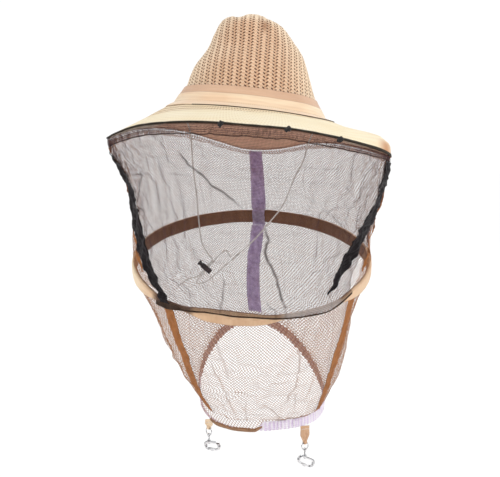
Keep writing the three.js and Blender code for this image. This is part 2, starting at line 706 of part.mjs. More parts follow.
function addLowerVeil() {
  const rearEnd = (v) => lowerLeftSeam(v) + 360;
  addNet("lower_front_net", FINISH.khakiNet, LOWER, lowerLeftSeam, lowerRightSeam, 16, 7);
  addNet("lower_rear_net", FINISH.khakiNet, LOWER, lowerRightSeam, rearEnd, 28, 7);

  const run = { from: 0.1, to: 0.985, rows: 8 };
  const side = { ...run, width: 9, spans: 1 };
  addTape("lower_left_tape", FINISH.brownTape, LOWER, { ...side, path: LOWER_SEAM_LEFT });
  addTape("lower_right_tape", FINISH.brownTape, LOWER, { ...side, path: LOWER_SEAM_RIGHT });
  addTape("rear_seam_tape_lower", FINISH.lavenderTape, LOWER,
    { ...run, path: REAR_SEAM_LOWER, width: SEAM_TAPE_WIDTH - 3, layer: INSIDE, spans: 3 });
}

// --------------------------------------------------------------------- clasps
// Each is built hanging from (0, 0, 0), its tab in the XZ plane, then placed.
const TAB = { width: 13, thickness: 2, tipWidth: 4.2, eyeRadius: 2.5, eyeBore: 1.5 };
const RING = { radius: 4.7, wire: 0.7 };
const SWIVEL = { eyeRadius: 2.0, eyeWire: 0.65, postRadius: 0.8, postLength: 9, headHeight: 1 };
const BOSS = { radius: 2.2, height: 3.6, below: 4.4 }; // below: post top to boss top
// claw: a stadium-shaped bar loop, its long axis along X before tilting
const CLAW = { endRadius: 5.4, halfStraight: 7.4, centreX: 5.0, bar: 2.3, thickness: 3.2 };
const CLAW_BOTTOM = -2 * CLAW.endRadius;
const MOUTH = { x0: CLAW.centreX - 3.4, x1: CLAW.centreX + 6.2 };
const SLOT = { x0: CLAW.centreX - 8.2, x1: CLAW.centreX - 3.0 };
const PIN = { x: CLAW.centreX - 5.6, z: CLAW_BOTTOM + CLAW.bar / 2 };

// pointed ribbon tab with an eye at its lower end and a sloping upper edge
function tabSolid(length, topSlope) {
  const half = TAB.width / 2;
  const tip = TAB.tipWidth / 2;
  const rise = topSlope * half;
  const outline = [
    [-half, rise], [-half, -length * 0.55], [-tip, -length - 1],
    [tip, -length - 1], [half, -length * 0.55], [half, -rise],
  ];
  const eye = rodX(TAB.eyeRadius, TAB.tipWidth, 16).translate(0, 0, -length);
  const bore = rodX(TAB.eyeBore, 14, 16).translate(0, 0, -length);
  return cut(union(plate(outline, TAB.thickness), eye), bore);
}

// eye, post and post head
function swivelSolid(eyeZ, postTop, headZ) {
  const eye = new THREE.TorusGeometry(SWIVEL.eyeRadius, SWIVEL.eyeWire, 6, 12)
    .rotateY(Math.PI / 2)
    .translate(0, 0, eyeZ);
  const post = rodZ(SWIVEL.postRadius, SWIVEL.postLength, 8)
    .translate(0, 0, postTop - SWIVEL.postLength / 2);
  const head = rodZ(1.6, SWIVEL.headHeight, 10).translate(0, 0, headZ);
  return union(eye, post, head);
}

// outline of a stadium centred on the claw
function stadium(radius, arcSpans = 6) {
  const points = [];
  for (const side of [1, -1]) {
    for (let i = 0; i <= arcSpans; i++) {
      const angle = (-side * Math.PI) / 2 + (Math.PI * i) / arcSpans;
      points.push([
        CLAW.centreX + side * CLAW.halfStraight + radius * Math.cos(angle),
        -CLAW.endRadius + radius * Math.sin(angle),
      ]);
    }
  }
  return points;
}

// claw with a mouth for the gate, a slot for its hinge end, and a bored boss
function hookSolid(clawMatrix, bossTop, headZ) {
  const { endRadius, bar, thickness } = CLAW;
  const through = 2 * thickness;
  const low = CLAW_BOTTOM - 1;
  const claw = cut(
    plate(stadium(endRadius), thickness),
    plate(stadium(endRadius - bar), through),
    plate(rectangle(MOUTH.x0, MOUTH.x1, low, CLAW_BOTTOM + bar + 0.4), through),
    plate(rectangle(SLOT.x0, SLOT.x1, low, CLAW_BOTTOM + bar + 1.4), 1.9),
    rodY(0.75, 8, 12).translate(PIN.x, 0, PIN.z),
  ).applyMatrix4(clawMatrix);
  const bossZ = bossTop - BOSS.height / 2;
  const boss = rodZ(BOSS.radius, BOSS.height, 12).translate(0, 0, bossZ);
  const bore = rodZ(1.2, 12, 10).translate(0, 0, bossZ);
  const headRoom = rodZ(2.15, 2.6, 12).translate(0, 0, headZ);
  return cut(union(claw, boss), bore, headRoom);
}

// thin hinge tongue, thicker lip, and a nub below
function gateSolid() {
  const bottom = CLAW_BOTTOM + 0.15;
  const top = CLAW_BOTTOM + CLAW.bar - 0.1;
  const tongue = plate(rectangle(SLOT.x0 + 1.0, MOUTH.x1 - 2.0, bottom, top), 1.2);
  const lipOutline = rectangle(MOUTH.x0 + 0.4, MOUTH.x1 - 0.35, bottom, top);
  const lip = plate(lipOutline, CLAW.thickness - 0.4);
  const nub = plate([
    [MOUTH.x0 + 1.5, CLAW_BOTTOM - 1.3], [MOUTH.x0 + 4.2, CLAW_BOTTOM - 1.3],
    [MOUTH.x0 + 4.8, CLAW_BOTTOM + 0.6], [MOUTH.x0 + 0.9, CLAW_BOTTOM + 0.6],
  ], 2.2);
  const bore = rodY(0.8, 8, 12).translate(PIN.x, 0, PIN.z);
  return cut(union(tongue, lip, nub), bore);
}

function addClasp({ side, hemAngle, below, turn, clawTilt, tabLength, topSlope }) {
  const hang = hemPoint(hemAngle);
  hang.z -= HEM_HEIGHT / 2 + below;
  const placement = new THREE.Matrix4().makeRotationZ(degToRad(turn)).setPosition(hang);
  const place = (name, solid, finish) =>
    add(`${name}_${side}`, solid.applyMatrix4(placement), finish);

  // levels down the clasp
  const ringZ = -tabLength - RING.radius + 0.2;
  const swivelZ = ringZ - RING.radius; // the swivel hangs on the ring's lowest point
  const postTop = swivelZ - SWIVEL.eyeRadius;
  const headZ = postTop - SWIVEL.postLength + SWIVEL.headHeight / 2;
  const bossTop = postTop - BOSS.below;
  const clawMatrix = new THREE.Matrix4()
    .makeRotationY(-degToRad(clawTilt))
    .setPosition(0, 0, bossTop - 1.2);

  place("strap_tab", tabSolid(tabLength, topSlope), FINISH.strap);
  const ring = new THREE.TorusGeometry(RING.radius, RING.wire, 6, 20)
    .rotateX(Math.PI / 2)
    .translate(0, 0, ringZ);
  place("ring", ring, FINISH.ring);
  place("swivel", swivelSolid(swivelZ, postTop, headZ), FINISH.swivel);
  place("hook_body", hookSolid(clawMatrix, bossTop, headZ), FINISH.hook);
  place("hook_gate", gateSolid().applyMatrix4(clawMatrix), FINISH.gate);
  const pin = rodY(0.45, CLAW.thickness - 0.1, 10).translate(PIN.x, 0, PIN.z);
  place("gate_pin", pin.applyMatrix4(clawMatrix), FINISH.pin);
}

// -------------------------------------------------------- chin cord and lock
const CORD_RADIUS = 0.85;
const ANCHOR = { x: 82.6, y: 4, z: -0.6, lean: 2.952 }; // lean: drop at right, rise at left
const LOCK_CENTRE = vec(-53.9, -6, -191.8);
const LOCK_AXIS = vec(0.75, 0, -0.66).normalize(); // barrel axis, down to the right
const LOCK_CORDWAY = vec(0, 1, 0).cross(LOCK_AXIS); // cords cross it, down to the left
const LOCK_MATRIX = new THREE.Matrix4()
  .makeBasis(LOCK_AXIS, vec(0, 1, 0), LOCK_CORDWAY.clone().negate())
  .setPosition(LOCK_CENTRE);
const CORD_OFFSET = 1.2; // each cord's distance from the slot's middle

// small tab sewn inside the sweatband; returns where its cord starts
function addAnchor(name, sign) {
  const x = sign * ANCHOR.x + OPENING_CENTRE_X;
  const z = ANCHOR.z - sign * ANCHOR.lean;
  const placement = hatMatrix.clone().setPosition(toHat(vec(x, ANCHOR.y, z)));
  add(name, new THREE.BoxGeometry(1.4, 12, 9).applyMatrix4(placement), FINISH.anchor);
  return toHat(vec(x, ANCHOR.y, z - 6));
}

// points on one cord's way through the lock, at distances down the cordway
const throughLock = (distances, offset) => distances.map((distance) =>
  LOCK_CENTRE.clone()
    .addScaledVector(LOCK_CORDWAY, distance)
    .addScaledVector(LOCK_AXIS, offset)
    .toArray());

function addCord(name, start, points, spans) {
  const path = [start, ...points.map((point) => vec(...point))];
  add(name, roundSweep(path, CORD_RADIUS, 5, spans), FINISH.cord);
}

// the left cord comes down through the lock; the right one loops under it,
// runs up through the slot and ends in a short tail
function addCords(leftStart, rightStart) {
  addCord("chin_cord_left", leftStart, [
    [-73.3, -3, -22], [-69.9, -3, -64.5], [-65.2, -3, -104.7], [-62.9, -3, -133.9],
    [-59, -4, -160], [-51, -5, -174.5],
    ...throughLock([-13, -7, 7, 14], -CORD_OFFSET),
    [-76, -6, -205], [-90.7, -6, -215.2],
  ], 36);
  addCord("chin_cord_right", rightStart, [
    [72.1, -3, -37.4], [67.3, -3, -55.8], [55.1, -3, -80.5], [41.6, -3, -112.8],
    [27.3, -3, -131.4], [4.3, -3, -157.7], [-24.4, -3, -183.6], [-41, -8, -197],
    [-50, -12, -208], [-61, -13, -213], [-68.5, -10, -210.5],
    ...throughLock([14, 7, -7, -14], CORD_OFFSET),
    [-36, -11, -173], [-29.3, -13, -168.5], [-23.1, -14, -177],
  ], 52);
}

// the lock's parts are built along X, then placed by LOCK_MATRIX
function addLockBarrel() {
  const body = rodX(3.4, 14, 16);
  const bore = rodX(2.65, 13, 14).translate(-1.1, 0, 0);
  const slot = new THREE.BoxGeometry(4.9, 2.5, 10);
  add("cord_lock_barrel", cut(body, bore, slot).applyMatrix4(LOCK_MATRIX), FINISH.lock);
}
function addLockPlunger() {
  const stem = rodX(2.25, 13, 14).translate(-3.6, 0, 0);
  const cap = rodX(3.3, 2.6, 16).translate(-11.0, 0, 0);
  const slot = new THREE.BoxGeometry(6.6, 2.5, 8).translate(-0.85, 0, 0);
  const solid = cut(union(stem, cap), slot);
  add("cord_lock_plunger", solid.applyMatrix4(LOCK_MATRIX), FINISH.lock);
}
// spring between the plunger and the barrel's closed end
function addLockSpring() {
  const [turns, spans, coilRadius, wireRadius] = [2, 28, 1.4, 0.2];
  const points = [];
  for (let i = 0; i <= spans; i++) {
    const share = i / spans;
    const angle = 2 * Math.PI * turns * share;
    const x = lerp(3.5, 4.9, share);
    points.push(vec(x, coilRadius * Math.cos(angle), coilRadius * Math.sin(angle)));
  }
  const solid = roundSweep(points, wireRadius, 4, spans);
  add("cord_lock_spring", solid.applyMatrix4(LOCK_MATRIX), FINISH.spring);
}

// ------------------------------------------------------------------- assembly
addCrown();
addHatBand();
addSweatband();
addBrim();
addBrimBinding();
addBrimWire();
addUpperVeil();
addTack("net_tack_left", -9.3);
addTack("net_tack_centre", 13.5);
addTack("net_tack_right", 34);

const FERRULE_REACH = 4; // half the sleeve's length, degrees
addHoopWire(FERRULE_REACH);
addFerrule(FERRULE_REACH);
addHoopCasing();
addLowerVeil();
addHemElastic();
addHemBinding();

addClasp({
  side: "left", hemAngle: -56, below: 2.9, turn: -42,
  clawTilt: 8, tabLength: 10.5, topSlope: 0.27,
});
addClasp({
  side: "right", hemAngle: 41, below: 1.0, turn: 30,
  clawTilt: -28, tabLength: 20.5, topSlope: -0.08,
});

const leftStart = addAnchor("cord_anchor_left", -1);
const rightStart = addAnchor("cord_anchor_right", 1);
addCords(leftStart, rightStart);
addLockBarrel();
addLockPlunger();
addLockSpring();

// put the origin at the bottom centre of the bounds
const bounds = new THREE.Box3().setFromObject(group);
const centre = bounds.getCenter(vec(0, 0, 0));
for (const mesh of group.children) {
  mesh.geometry.translate(-centre.x, -centre.y, -bounds.min.z);
}

export default group;
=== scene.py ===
# Beekeeping hat with a two-tier veil: a knitted crown and woven brim, a net from brim to hoop,
# a second net from hoop to an elastic hem, a chin cord with a lock, and two clip straps.
# +Z is up and the wearer faces -Y. Left and right are -X and +X, as seen from the front.
# Shapes are worked out in millimetres from the head opening; angles round the hat are in
# degrees from the front, growing towards +X.
import bpy
import math
import numpy as np
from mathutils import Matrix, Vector

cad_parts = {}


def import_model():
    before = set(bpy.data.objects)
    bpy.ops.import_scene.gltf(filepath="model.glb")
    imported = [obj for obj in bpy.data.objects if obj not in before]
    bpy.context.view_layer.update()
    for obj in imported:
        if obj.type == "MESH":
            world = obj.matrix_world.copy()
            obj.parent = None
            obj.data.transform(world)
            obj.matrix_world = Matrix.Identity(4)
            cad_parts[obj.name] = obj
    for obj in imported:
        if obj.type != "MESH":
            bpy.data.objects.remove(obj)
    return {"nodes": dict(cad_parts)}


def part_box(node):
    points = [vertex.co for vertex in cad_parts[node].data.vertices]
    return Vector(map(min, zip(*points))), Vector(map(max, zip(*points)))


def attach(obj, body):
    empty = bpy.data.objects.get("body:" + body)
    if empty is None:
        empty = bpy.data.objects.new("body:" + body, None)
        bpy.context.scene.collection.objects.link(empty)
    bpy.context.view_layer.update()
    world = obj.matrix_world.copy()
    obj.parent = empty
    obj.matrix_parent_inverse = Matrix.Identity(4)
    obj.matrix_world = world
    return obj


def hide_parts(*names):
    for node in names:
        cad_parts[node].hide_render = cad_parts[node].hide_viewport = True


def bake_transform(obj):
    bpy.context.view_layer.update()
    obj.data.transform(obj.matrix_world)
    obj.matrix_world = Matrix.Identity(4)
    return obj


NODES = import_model()["nodes"]
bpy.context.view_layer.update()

# -------------------------------------------------------- driving dimensions
MM = 0.001
TAU = 2 * math.pi
DEG_PER_RAD = 57.3
UP = np.array([0, 0, 1.0])
SHIFT = np.array([-0.0603485, 2.4939041, 430.8290100])  # head opening to frame
GAP = 0.35  # clearance between neighbouring pieces

HAT_ROLL = HAT_PITCH = math.radians(4.5)
SEAT_SLOPE_X, SEAT_SLOPE_Y = -0.036, 0.029  # tilt of the crown's foot
# crown stations: height, reach to the left, reach to the right
CROWN = np.array([
    (0, 93, 94), (12, 86.5, 86.5), (25, 80, 79), (40, 76.2, 73.2), (55, 70.2, 67.6),
    (73, 58.6, 60.2), (90, 52, 47.5), (103, 46.6, 36.8), (110, 41.5, 26), (114, 32, 17.5),
    (117.5, 19, 11.5), (119.5, 4, 4.5)], float)
CROWN_TOP = len(CROWN) - 1  # index of the last station
FOOT_HALF = (CROWN[0, 1] + CROWN[0, 2]) / 2
FOOT_CENTRE = (CROWN[0, 2] - CROWN[0, 1]) / 2
CROWN_DEPTH_RATIO = 1.06
BRIM_LEFT, BRIM_RIGHT, BRIM_DEPTH = 170, 176, 182  # reach of the brim's edge
BRIM_WIDTH = 84  # nominal, for pattern coordinates
# height of the brim's edge at even steps round from the front
BRIM_DROP = [-32.5, -32.4, -34.7, -38, -40, -41.5, -40, -33, -24, -17, -17, -26.5,
             -30, -22, -14.5, -15, -22, -34, -43.5, -46.5, -43.5, -37.5, -34, -32.2]
# profile of the brim's right side: share of its width, share of reach, share of fall
BRIM_RIGHT_PROFILE = [(0, 0, 0), (0.3, 0.32, 0.2), (0.6, 0.66, 0.3), (0.75, 0.81, 0.37),
                      (0.9, 0.965, 0.62), (1, 1, 1)]
BRIM_IN = 2 * GAP + 1.2
EDGE_UNDER = 3.3  # the veil hangs this far under the brim's edge

HOOP_R, HOOP_TILT, HOOP_C = 146, math.radians(18.35), np.array([2.8, 0, -183.3])
CASING_H = 17
LAP_TOP = CASING_H / 2 + 0.95
# casing round the hoop: degrees, lower edge, upper edge
CASING_EDGES = [
    (-180, -8.8, 8.8), (-100, -8.8, 8.8), (-75, -8, 8), (-58, -7, 6.5), (-48, -2.6, 2.2),
    (-36, -2.4, 2.2), (-30, -2.8, 3.0), (-26, -5, 5), (-20, -8.5, 7.5), (-10, -9, 8.3),
    (0, -9, 5.5), (6, -7.5, 3.2), (12, -4.0, 2.4), (17, -2.1, 2.0), (45, -2.1, 2.0),
    (50, -5, 5), (56, -7, 7), (75, -8, 8), (100, -8.8, 8.8), (180, -8.8, 8.8)]
# how far the front net laps down over the casing: degrees, mm
LAP = [(-58, 0), (-52, 7), (-46, 13), (-40, 13), (-33, 9), (-27, 7), (-20, 4), (-14, 4),
       (-8, 5), (0, 5.6), (5, 7.2), (13, 9.5), (20, 10.6), (27, 12), (33, 13), (38, 11.5),
       (43, 8), (48, 4), (54, 0)]

HEM_A, HEM_B, HEM_CX = 79, 75, 15.5  # half width, half depth, centre in x
HEM_Z = [-334.5, -50, 12.5, -8, 5]  # mean height, then cos, cos 2, sin, sin 2 terms
HEM_H = 11.5
HEM_ROOM = HEM_H / 2 + 0.9  # hem line to the net's foot
HEM_FALL = 10.6  # length of net running on over the hem

# seams: share of the net's drop, degrees
SEAM_L = [(0, -84), (0.3, -84), (0.55, -80), (0.75, -71), (0.9, -60), (0.96, -53.5), (1, -47)]
SEAM_R = [(0, 84), (0.25, 88), (0.45, 82), (0.65, 74), (0.85, 65), (1, 54)]
LOW_SEAM_L = [(0, -41), (0.2, -39), (0.4, -38), (0.63, -41.5), (0.8, -46), (1, -51)]
LOW_SEAM_R = [(0, 52), (0.25, 48.5), (0.43, 46.5), (0.63, 47.5), (0.8, 51), (1, 57)]
# edges of the front net's side tapes: share of the drop, degrees
LEFT_TAPE_IN = [(0, -82), (0.1, -80.5), (0.2, -75), (0.33, -67.5), (0.5, -62.5), (0.65, -59),
                (0.775, -54.5), (0.855, -50.5), (0.93, -46), (1, -40.5)]
RIGHT_TAPE_IN = [(0, 70), (0.2, 67), (0.315, 65), (0.515, 58), (0.62, 51.5), (0.71, 47),
                 (0.775, 43.5), (0.865, 39), (0.935, 36.5), (0.97, 35)]
RIGHT_TAPE_OUT = [(0, 82), (0.2, 83), (0.335, 81), (0.425, 78), (0.65, 62), (0.75, 56.5),
                  (0.8, 51), (0.885, 44), (0.945, 39), (0.97, 35.6)]
# how the nets draw in or belly: share of the drop, share of the way in
DRAW_L = [(0, 0), (0.1, 0.17), (0.18, 0.45), (0.28, 0.68), (0.4, 0.84), (0.52, 0.98),
          (0.7, 1.04), (1, 1)]
DRAW_R = [(0, 0), (0.12, 0.08), (0.25, 0.22), (0.4, 0.45), (0.58, 0.78), (0.75, 0.97), (1, 1)]
LOW_DRAW = [(0, 0), (0.12, 0.6), (0.3, 1), (0.5, 0.75), (0.75, 0.12), (0.88, 0), (1, 0)]
LOW_FULL = [0.14, 0.22]  # fullness of the lower net, left and right

# knit pattern: width of one repeat, height of one row, half size of an eyelet
KNIT_REPEAT, KNIT_ROW, EYELET_X, EYELET_Y = 10.8, 4.2, 1.55, 0.95
# eyelet columns in one repeat: centre, slant, phase
EYELETS = ((3.3, 0.5, 0.0), (7.5, -0.5, 1.6))
TAPE_THICKNESS = 0.6


# -------------------------------------------------------------- small maths
def lookup(table, at, column=1):
    table = np.array(table, float)
    return np.interp(at, table[:, 0], table[:, column])


def ease(share):
    share = np.clip(share, 0, 1)
    return share * share * (3 - 2 * share)


def fade(value, start, span):
    """Eased 0 to 1 from start over span; a negative span runs the other way."""
    return ease((value - start) / span)


def bell(value, centre, width):
    return np.exp(-(((value - centre) / width) ** 2))


def lerp(a, b, share):
    return a + (b - a) * share


def unit(vector):
    return vector / np.maximum(np.linalg.norm(vector, axis=-1, keepdims=True), 1e-12)


def dot(a, b):
    return np.sum(a * b, axis=-1)


def xyz(x, y, z):
    return np.stack(np.broadcast_arrays(x, y, z), -1)


def turned(normal, towards):
    """The normal, flipped where it points away from the given direction."""
    return np.where(dot(normal, towards)[..., None] < 0, -normal, normal)


def signed(deg):
    """An angle brought into -180..180."""
    return (deg + 180) % 360 - 180


def signed_power(value, power):
    return np.sign(value) * np.abs(value) ** power


def catmull(a, b, c, d, f):
    return 0.5 * (2 * b + (c - a) * f + (2 * a - 5 * b + 4 * c - d) * f * f
                  + (3 * b - a - 3 * c + d) * f ** 3)


def ring(table, deg):
    """Smooth lookup in a closed table of even steps round the hat."""
    table = np.array(table, float)
    count = len(table)
    place = np.mod(deg, 360) / 360 * count
    i = np.floor(place).astype(int)
    return catmull(*(table[(i + k) % count] for k in (-1, 0, 1, 2)), place - i)


def cubic(table, index):
    """Catmull-Rom through an open table at a fractional index."""
    table = np.concatenate([[2 * table[0] - table[1]], table, [2 * table[-1] - table[-2]]])
    i = np.clip(np.floor(index).astype(int), 0, len(table) - 4)
    return catmull(*(table[i + k] for k in range(4)), index - i)


def slopes(surface, deg, along, deg_step, step=0.01, last=1):
    """Differences of a surface round the hat and along its own second coordinate."""
    round_way = surface(deg + deg_step, along) - surface(deg - deg_step, along)
    long_way = (surface(deg, np.minimum(last, along + step))
                - surface(deg, np.maximum(0, along - step)))
    return round_way, long_way


def lengths(pts):
    """Distance along a line of points."""
    return np.concatenate([[0], np.cumsum(np.linalg.norm(np.diff(pts, axis=0), axis=1))])


def value_noise(x, y, seed, period=256):
    """Smooth lattice noise in -1..1, repeating along x after the period."""
    table = np.random.RandomState(seed).uniform(-1, 1, (256, 256))
    i, j = np.floor(x).astype(int), np.floor(y).astype(int)
    fx, fy = x - i, y - j
    fx, fy = fx * fx * (3 - 2 * fx), fy * fy * (3 - 2 * fy)

    def cell(i, j):
        return table[np.mod(i, period), np.mod(j, 256)]
    return lerp(lerp(cell(i, j), cell(i + 1, j), fx),
                lerp(cell(i, j + 1), cell(i + 1, j + 1), fx), fy)


def layered_noise(x, y, seed):
    """Three octaves of value noise."""
    total, weight = 0, 0
    for k in range(3):
        octave = value_noise(x * 2 ** k + 11.3 * k, y * 2 ** k + 5.7 * k, seed + k)
        total = total + 0.5 ** k * octave
        weight += 0.5 ** k
    return total / weight


# ----------------------------------------------------------------- surfaces
HAT_X = np.array([math.cos(HAT_ROLL), 0, -math.sin(HAT_ROLL)])
HAT_Y = np.array([0, math.cos(HAT_PITCH), -math.sin(HAT_PITCH)])
HAT_Y = HAT_Y - HAT_X * HAT_X.dot(HAT_Y)
HAT_Y = HAT_Y / np.linalg.norm(HAT_Y)
HAT_Z = np.cross(HAT_X, HAT_Y)
HOOP_BACK = np.array([0, math.cos(HOOP_TILT), math.sin(HOOP_TILT)])
HOOP_UP = np.array([0, -math.sin(HOOP_TILT), math.cos(HOOP_TILT)])


def to_hat(pts):
    """Carries points or directions from the upright hat into its tilted stance."""
    return pts[..., 0:1] * HAT_X + pts[..., 1:2] * HAT_Y + pts[..., 2:3] * HAT_Z


def seat(x, y):
    return SEAT_SLOPE_X * x + SEAT_SLOPE_Y * y


def crown_ring(index):
    """Height, half width and centre of the crown at a fractional station index."""
    height, left, right = (cubic(column, index) for column in CROWN.T)
    return height, (left + right) / 2, (right - left) / 2


def crown_xyz(deg, index):
    z, half, centre = crown_ring(index)
    turn = np.radians(deg)
    x = centre + half * np.sin(turn)
    # the top is longer than wide
    depth = lerp(half * CROWN_DEPTH_RATIO, half * 1.3, fade(z, 70, 40))
    y = -depth * np.cos(turn)
    crease = 4.5 * bell(x, -21, 6) * fade(z, 100, 10) * bell(y, 0, 42)
    pinch = 7 * bell(x, 9, 9) * bell(z, 98, 16) * ease(-y / 20)
    return xyz(x, y + pinch, z - crease + seat(x, y) * (1 - ease(z / 70)))


def crown_normal(deg, index):
    normal = unit(np.cross(*slopes(crown_xyz, deg, index, 0.3, 0.02, CROWN_TOP)))
    pts = crown_xyz(deg, index)
    return turned(normal, xyz(pts[..., 0], pts[..., 1], 20))


def crown_shell(deg, height, off):
    """Point at a distance off the crown at a given height, and its normal."""
    index = np.interp(height, CROWN[:, 0], np.arange(len(CROWN)))
    normal = crown_normal(deg, index)
    return to_hat(crown_xyz(deg, index) + normal * off[..., None]), to_hat(normal)


def brim_xyz(deg, share):
    turn = np.radians(deg)
    sine, cosine = np.sin(turn), np.cos(turn)
    in_x = FOOT_CENTRE + (FOOT_HALF + BRIM_IN) * sine
    in_y = -(FOOT_HALF * CROWN_DEPTH_RATIO + BRIM_IN) * cosine
    out_x = lerp(BRIM_LEFT, BRIM_RIGHT, (1 + sine) / 2) * sine
    out_y = -BRIM_DEPTH * cosine
    curved = np.where(share > 0, np.power(np.maximum(share, 1e-9), 0.95), share)
    right = bell(signed(deg), 88, 42)
    reach = lerp(share, lookup(BRIM_RIGHT_PROFILE, share), right)
    fall = lerp(curved, lookup(BRIM_RIGHT_PROFILE, share, 2), right)
    return xyz(lerp(in_x, out_x, reach), lerp(in_y, out_y, reach),
               lerp(seat(in_x, in_y), ring(BRIM_DROP, deg), fall))


def brim_at(deg, share):
    """Point and upward normal of the brim's middle surface."""
    normal = turned(unit(np.cross(*slopes(brim_xyz, deg, share, 0.4))), UP)
    return to_hat(brim_xyz(deg, share)), to_hat(normal)


def hoop_pt(deg, up=0.0):
    turn = np.radians(deg)
    up = np.asarray(up, float) + 0 * turn
    return (HOOP_C + (HOOP_R * np.sin(turn))[..., None] * np.array([1.0, 0, 0])
            - (HOOP_R * np.cos(turn))[..., None] * HOOP_BACK + up[..., None] * HOOP_UP)


def hoop_out(deg):
    return unit(hoop_pt(deg) - HOOP_C)


def hem_pt(deg):
    turn = np.radians(deg)
    mean, cos1, cos2, sin1, sin2 = HEM_Z
    z = (mean + cos1 * np.cos(turn) + cos2 * np.cos(2 * turn)
         + sin1 * np.sin(turn) + sin2 * np.sin(2 * turn))
    return xyz(HEM_CX + HEM_A * np.sin(turn), -HEM_B * np.cos(turn), z)


def hem_frame(deg):
    """Point of the hem line with its outward and upward directions."""
    pts = hem_pt(deg)
    tangent = unit(hem_pt(deg + 0.5) - hem_pt(deg - 0.5))
    outward = turned(unit(np.cross(tangent, UP)), xyz(pts[..., 0] - HEM_CX, pts[..., 1], 0))
    return pts, outward, turned(unit(np.cross(tangent, outward)), UP)


def upper_pt(deg, drop):
    """Drawn shape of the upper net, from the brim's edge (0) to the hoop (1)."""
    edge, under = brim_at(deg, np.ones_like(deg))
    top, foot = edge - under * EDGE_UNDER, hoop_pt(deg, CASING_H / 2 + 0.6 + GAP)
    sine = np.sin(np.radians(deg))
    drawn = lerp(lookup(DRAW_L, drop), lookup(DRAW_R, drop), (1 + sine) / 2)
    inward = lerp(drop, drawn, 0.35 + 0.65 * np.abs(sine))
    return lerp(top, foot, xyz(inward, inward, drop))


def lower_pt(deg, drop):
    """Drawn shape of the lower net, from the hoop (0) to the hem (1)."""
    top = hoop_pt(deg, -CASING_H / 2 - 0.9)
    hem, _, upward = hem_frame(deg)
    full = lerp(LOW_FULL[0], LOW_FULL[1], (1 + np.sin(np.radians(deg))) / 2)
    inward = drop - full * np.sin(np.pi * drop)
    return lerp(top, hem + upward * HEM_ROOM, xyz(inward, inward, drop))


def normal_of(surface, deg, drop):
    pts = surface(deg, drop)
    normal = unit(np.cross(*slopes(surface, deg, drop, 0.5)))
    return turned(normal, xyz(pts[..., 0] - 2, pts[..., 1], 0))


def slit(drop):
    """Degrees by which the front net stands clear of the right seam near its foot."""
    return 7.5 * fade(drop, 0.72, 0.12) * (1 - 0.6 * fade(drop, 0.93, 0.07))


def up_left(drop): return lookup(SEAM_L, drop)
def up_right(drop): return lookup(SEAM_R, drop)
def low_left(drop): return lookup(LOW_SEAM_L, drop)
def low_right(drop): return lookup(LOW_SEAM_R, drop)


def casing_edges(deg):
    """Lower and upper edge of the casing, measured from the wire."""
    deg = signed(deg)
    return lookup(CASING_EDGES, deg, 1), lookup(CASING_EDGES, deg, 2)


def hem_drop(deg):
    """1 at the front left, where the net runs on down over the narrowed elastic."""
    deg = signed(deg)
    return fade(deg, -78, 9) * fade(deg, 2, -8)


def lap_rows(deg, share):
    """Rows that carry the front net on down over the casing; share 0..1."""
    lap = lookup(LAP, deg) * share
    return hoop_pt(deg, LAP_TOP - lap) + hoop_out(deg) * (4.3 * ease(lap / 2.5))[..., None]


# ------------------------------------------------------------- mesh helpers
def world(pts):
    return (np.asarray(pts, float) + SHIFT) * MM


def put_mesh(name, verts, faces, material=None, attributes=None):
    mesh = bpy.data.meshes.new(name)
    mesh.from_pydata(np.asarray(verts, float).tolist(), [],
                     [tuple(int(i) for i in face) for face in faces])
    mesh.update()
    for key, values in (attributes or {}).items():
        values = np.ascontiguousarray(values, np.float32)
        kind, field_name = ("FLOAT_VECTOR", "vector") if values.ndim == 2 else ("FLOAT", "value")
        mesh.attributes.new(key, kind, "POINT").data.foreach_set(field_name, values.ravel())
    mesh.polygons.foreach_set("use_smooth", np.ones(len(mesh.polygons), bool))
    part = bpy.data.objects.new(name, mesh)
    bpy.context.scene.collection.objects.link(part)
    if material:
        mesh.materials.append(material)
    return part


def grid_faces(rows, columns, base=0, flip=False, wrap=False):
    i = np.arange(rows - 1)[:, None]
    j = np.arange(columns if wrap else columns - 1)[None, :]
    following = (j + 1) % columns
    near, far = base + i * columns, base + (i + 1) * columns
    corners = [near + j, near + following, far + following, far + j]
    return np.stack(corners[::-1] if flip else corners, -1).reshape(-1, 4)


def sheet(name, pts, pattern, material, flip=False, **attributes):
    """One open sheet from a grid of points; pattern holds its x, y, z pattern values."""
    rows, columns = pts.shape[:2]
    values = {"pat": xyz(*pattern).reshape(-1, 3)}
    for key, value in attributes.items():
        values[key] = np.broadcast_to(value, (rows, columns)).reshape(-1)
    faces = grid_faces(rows, columns, flip=flip)
    return put_mesh(name, world(pts).reshape(-1, 3), faces, material, values)


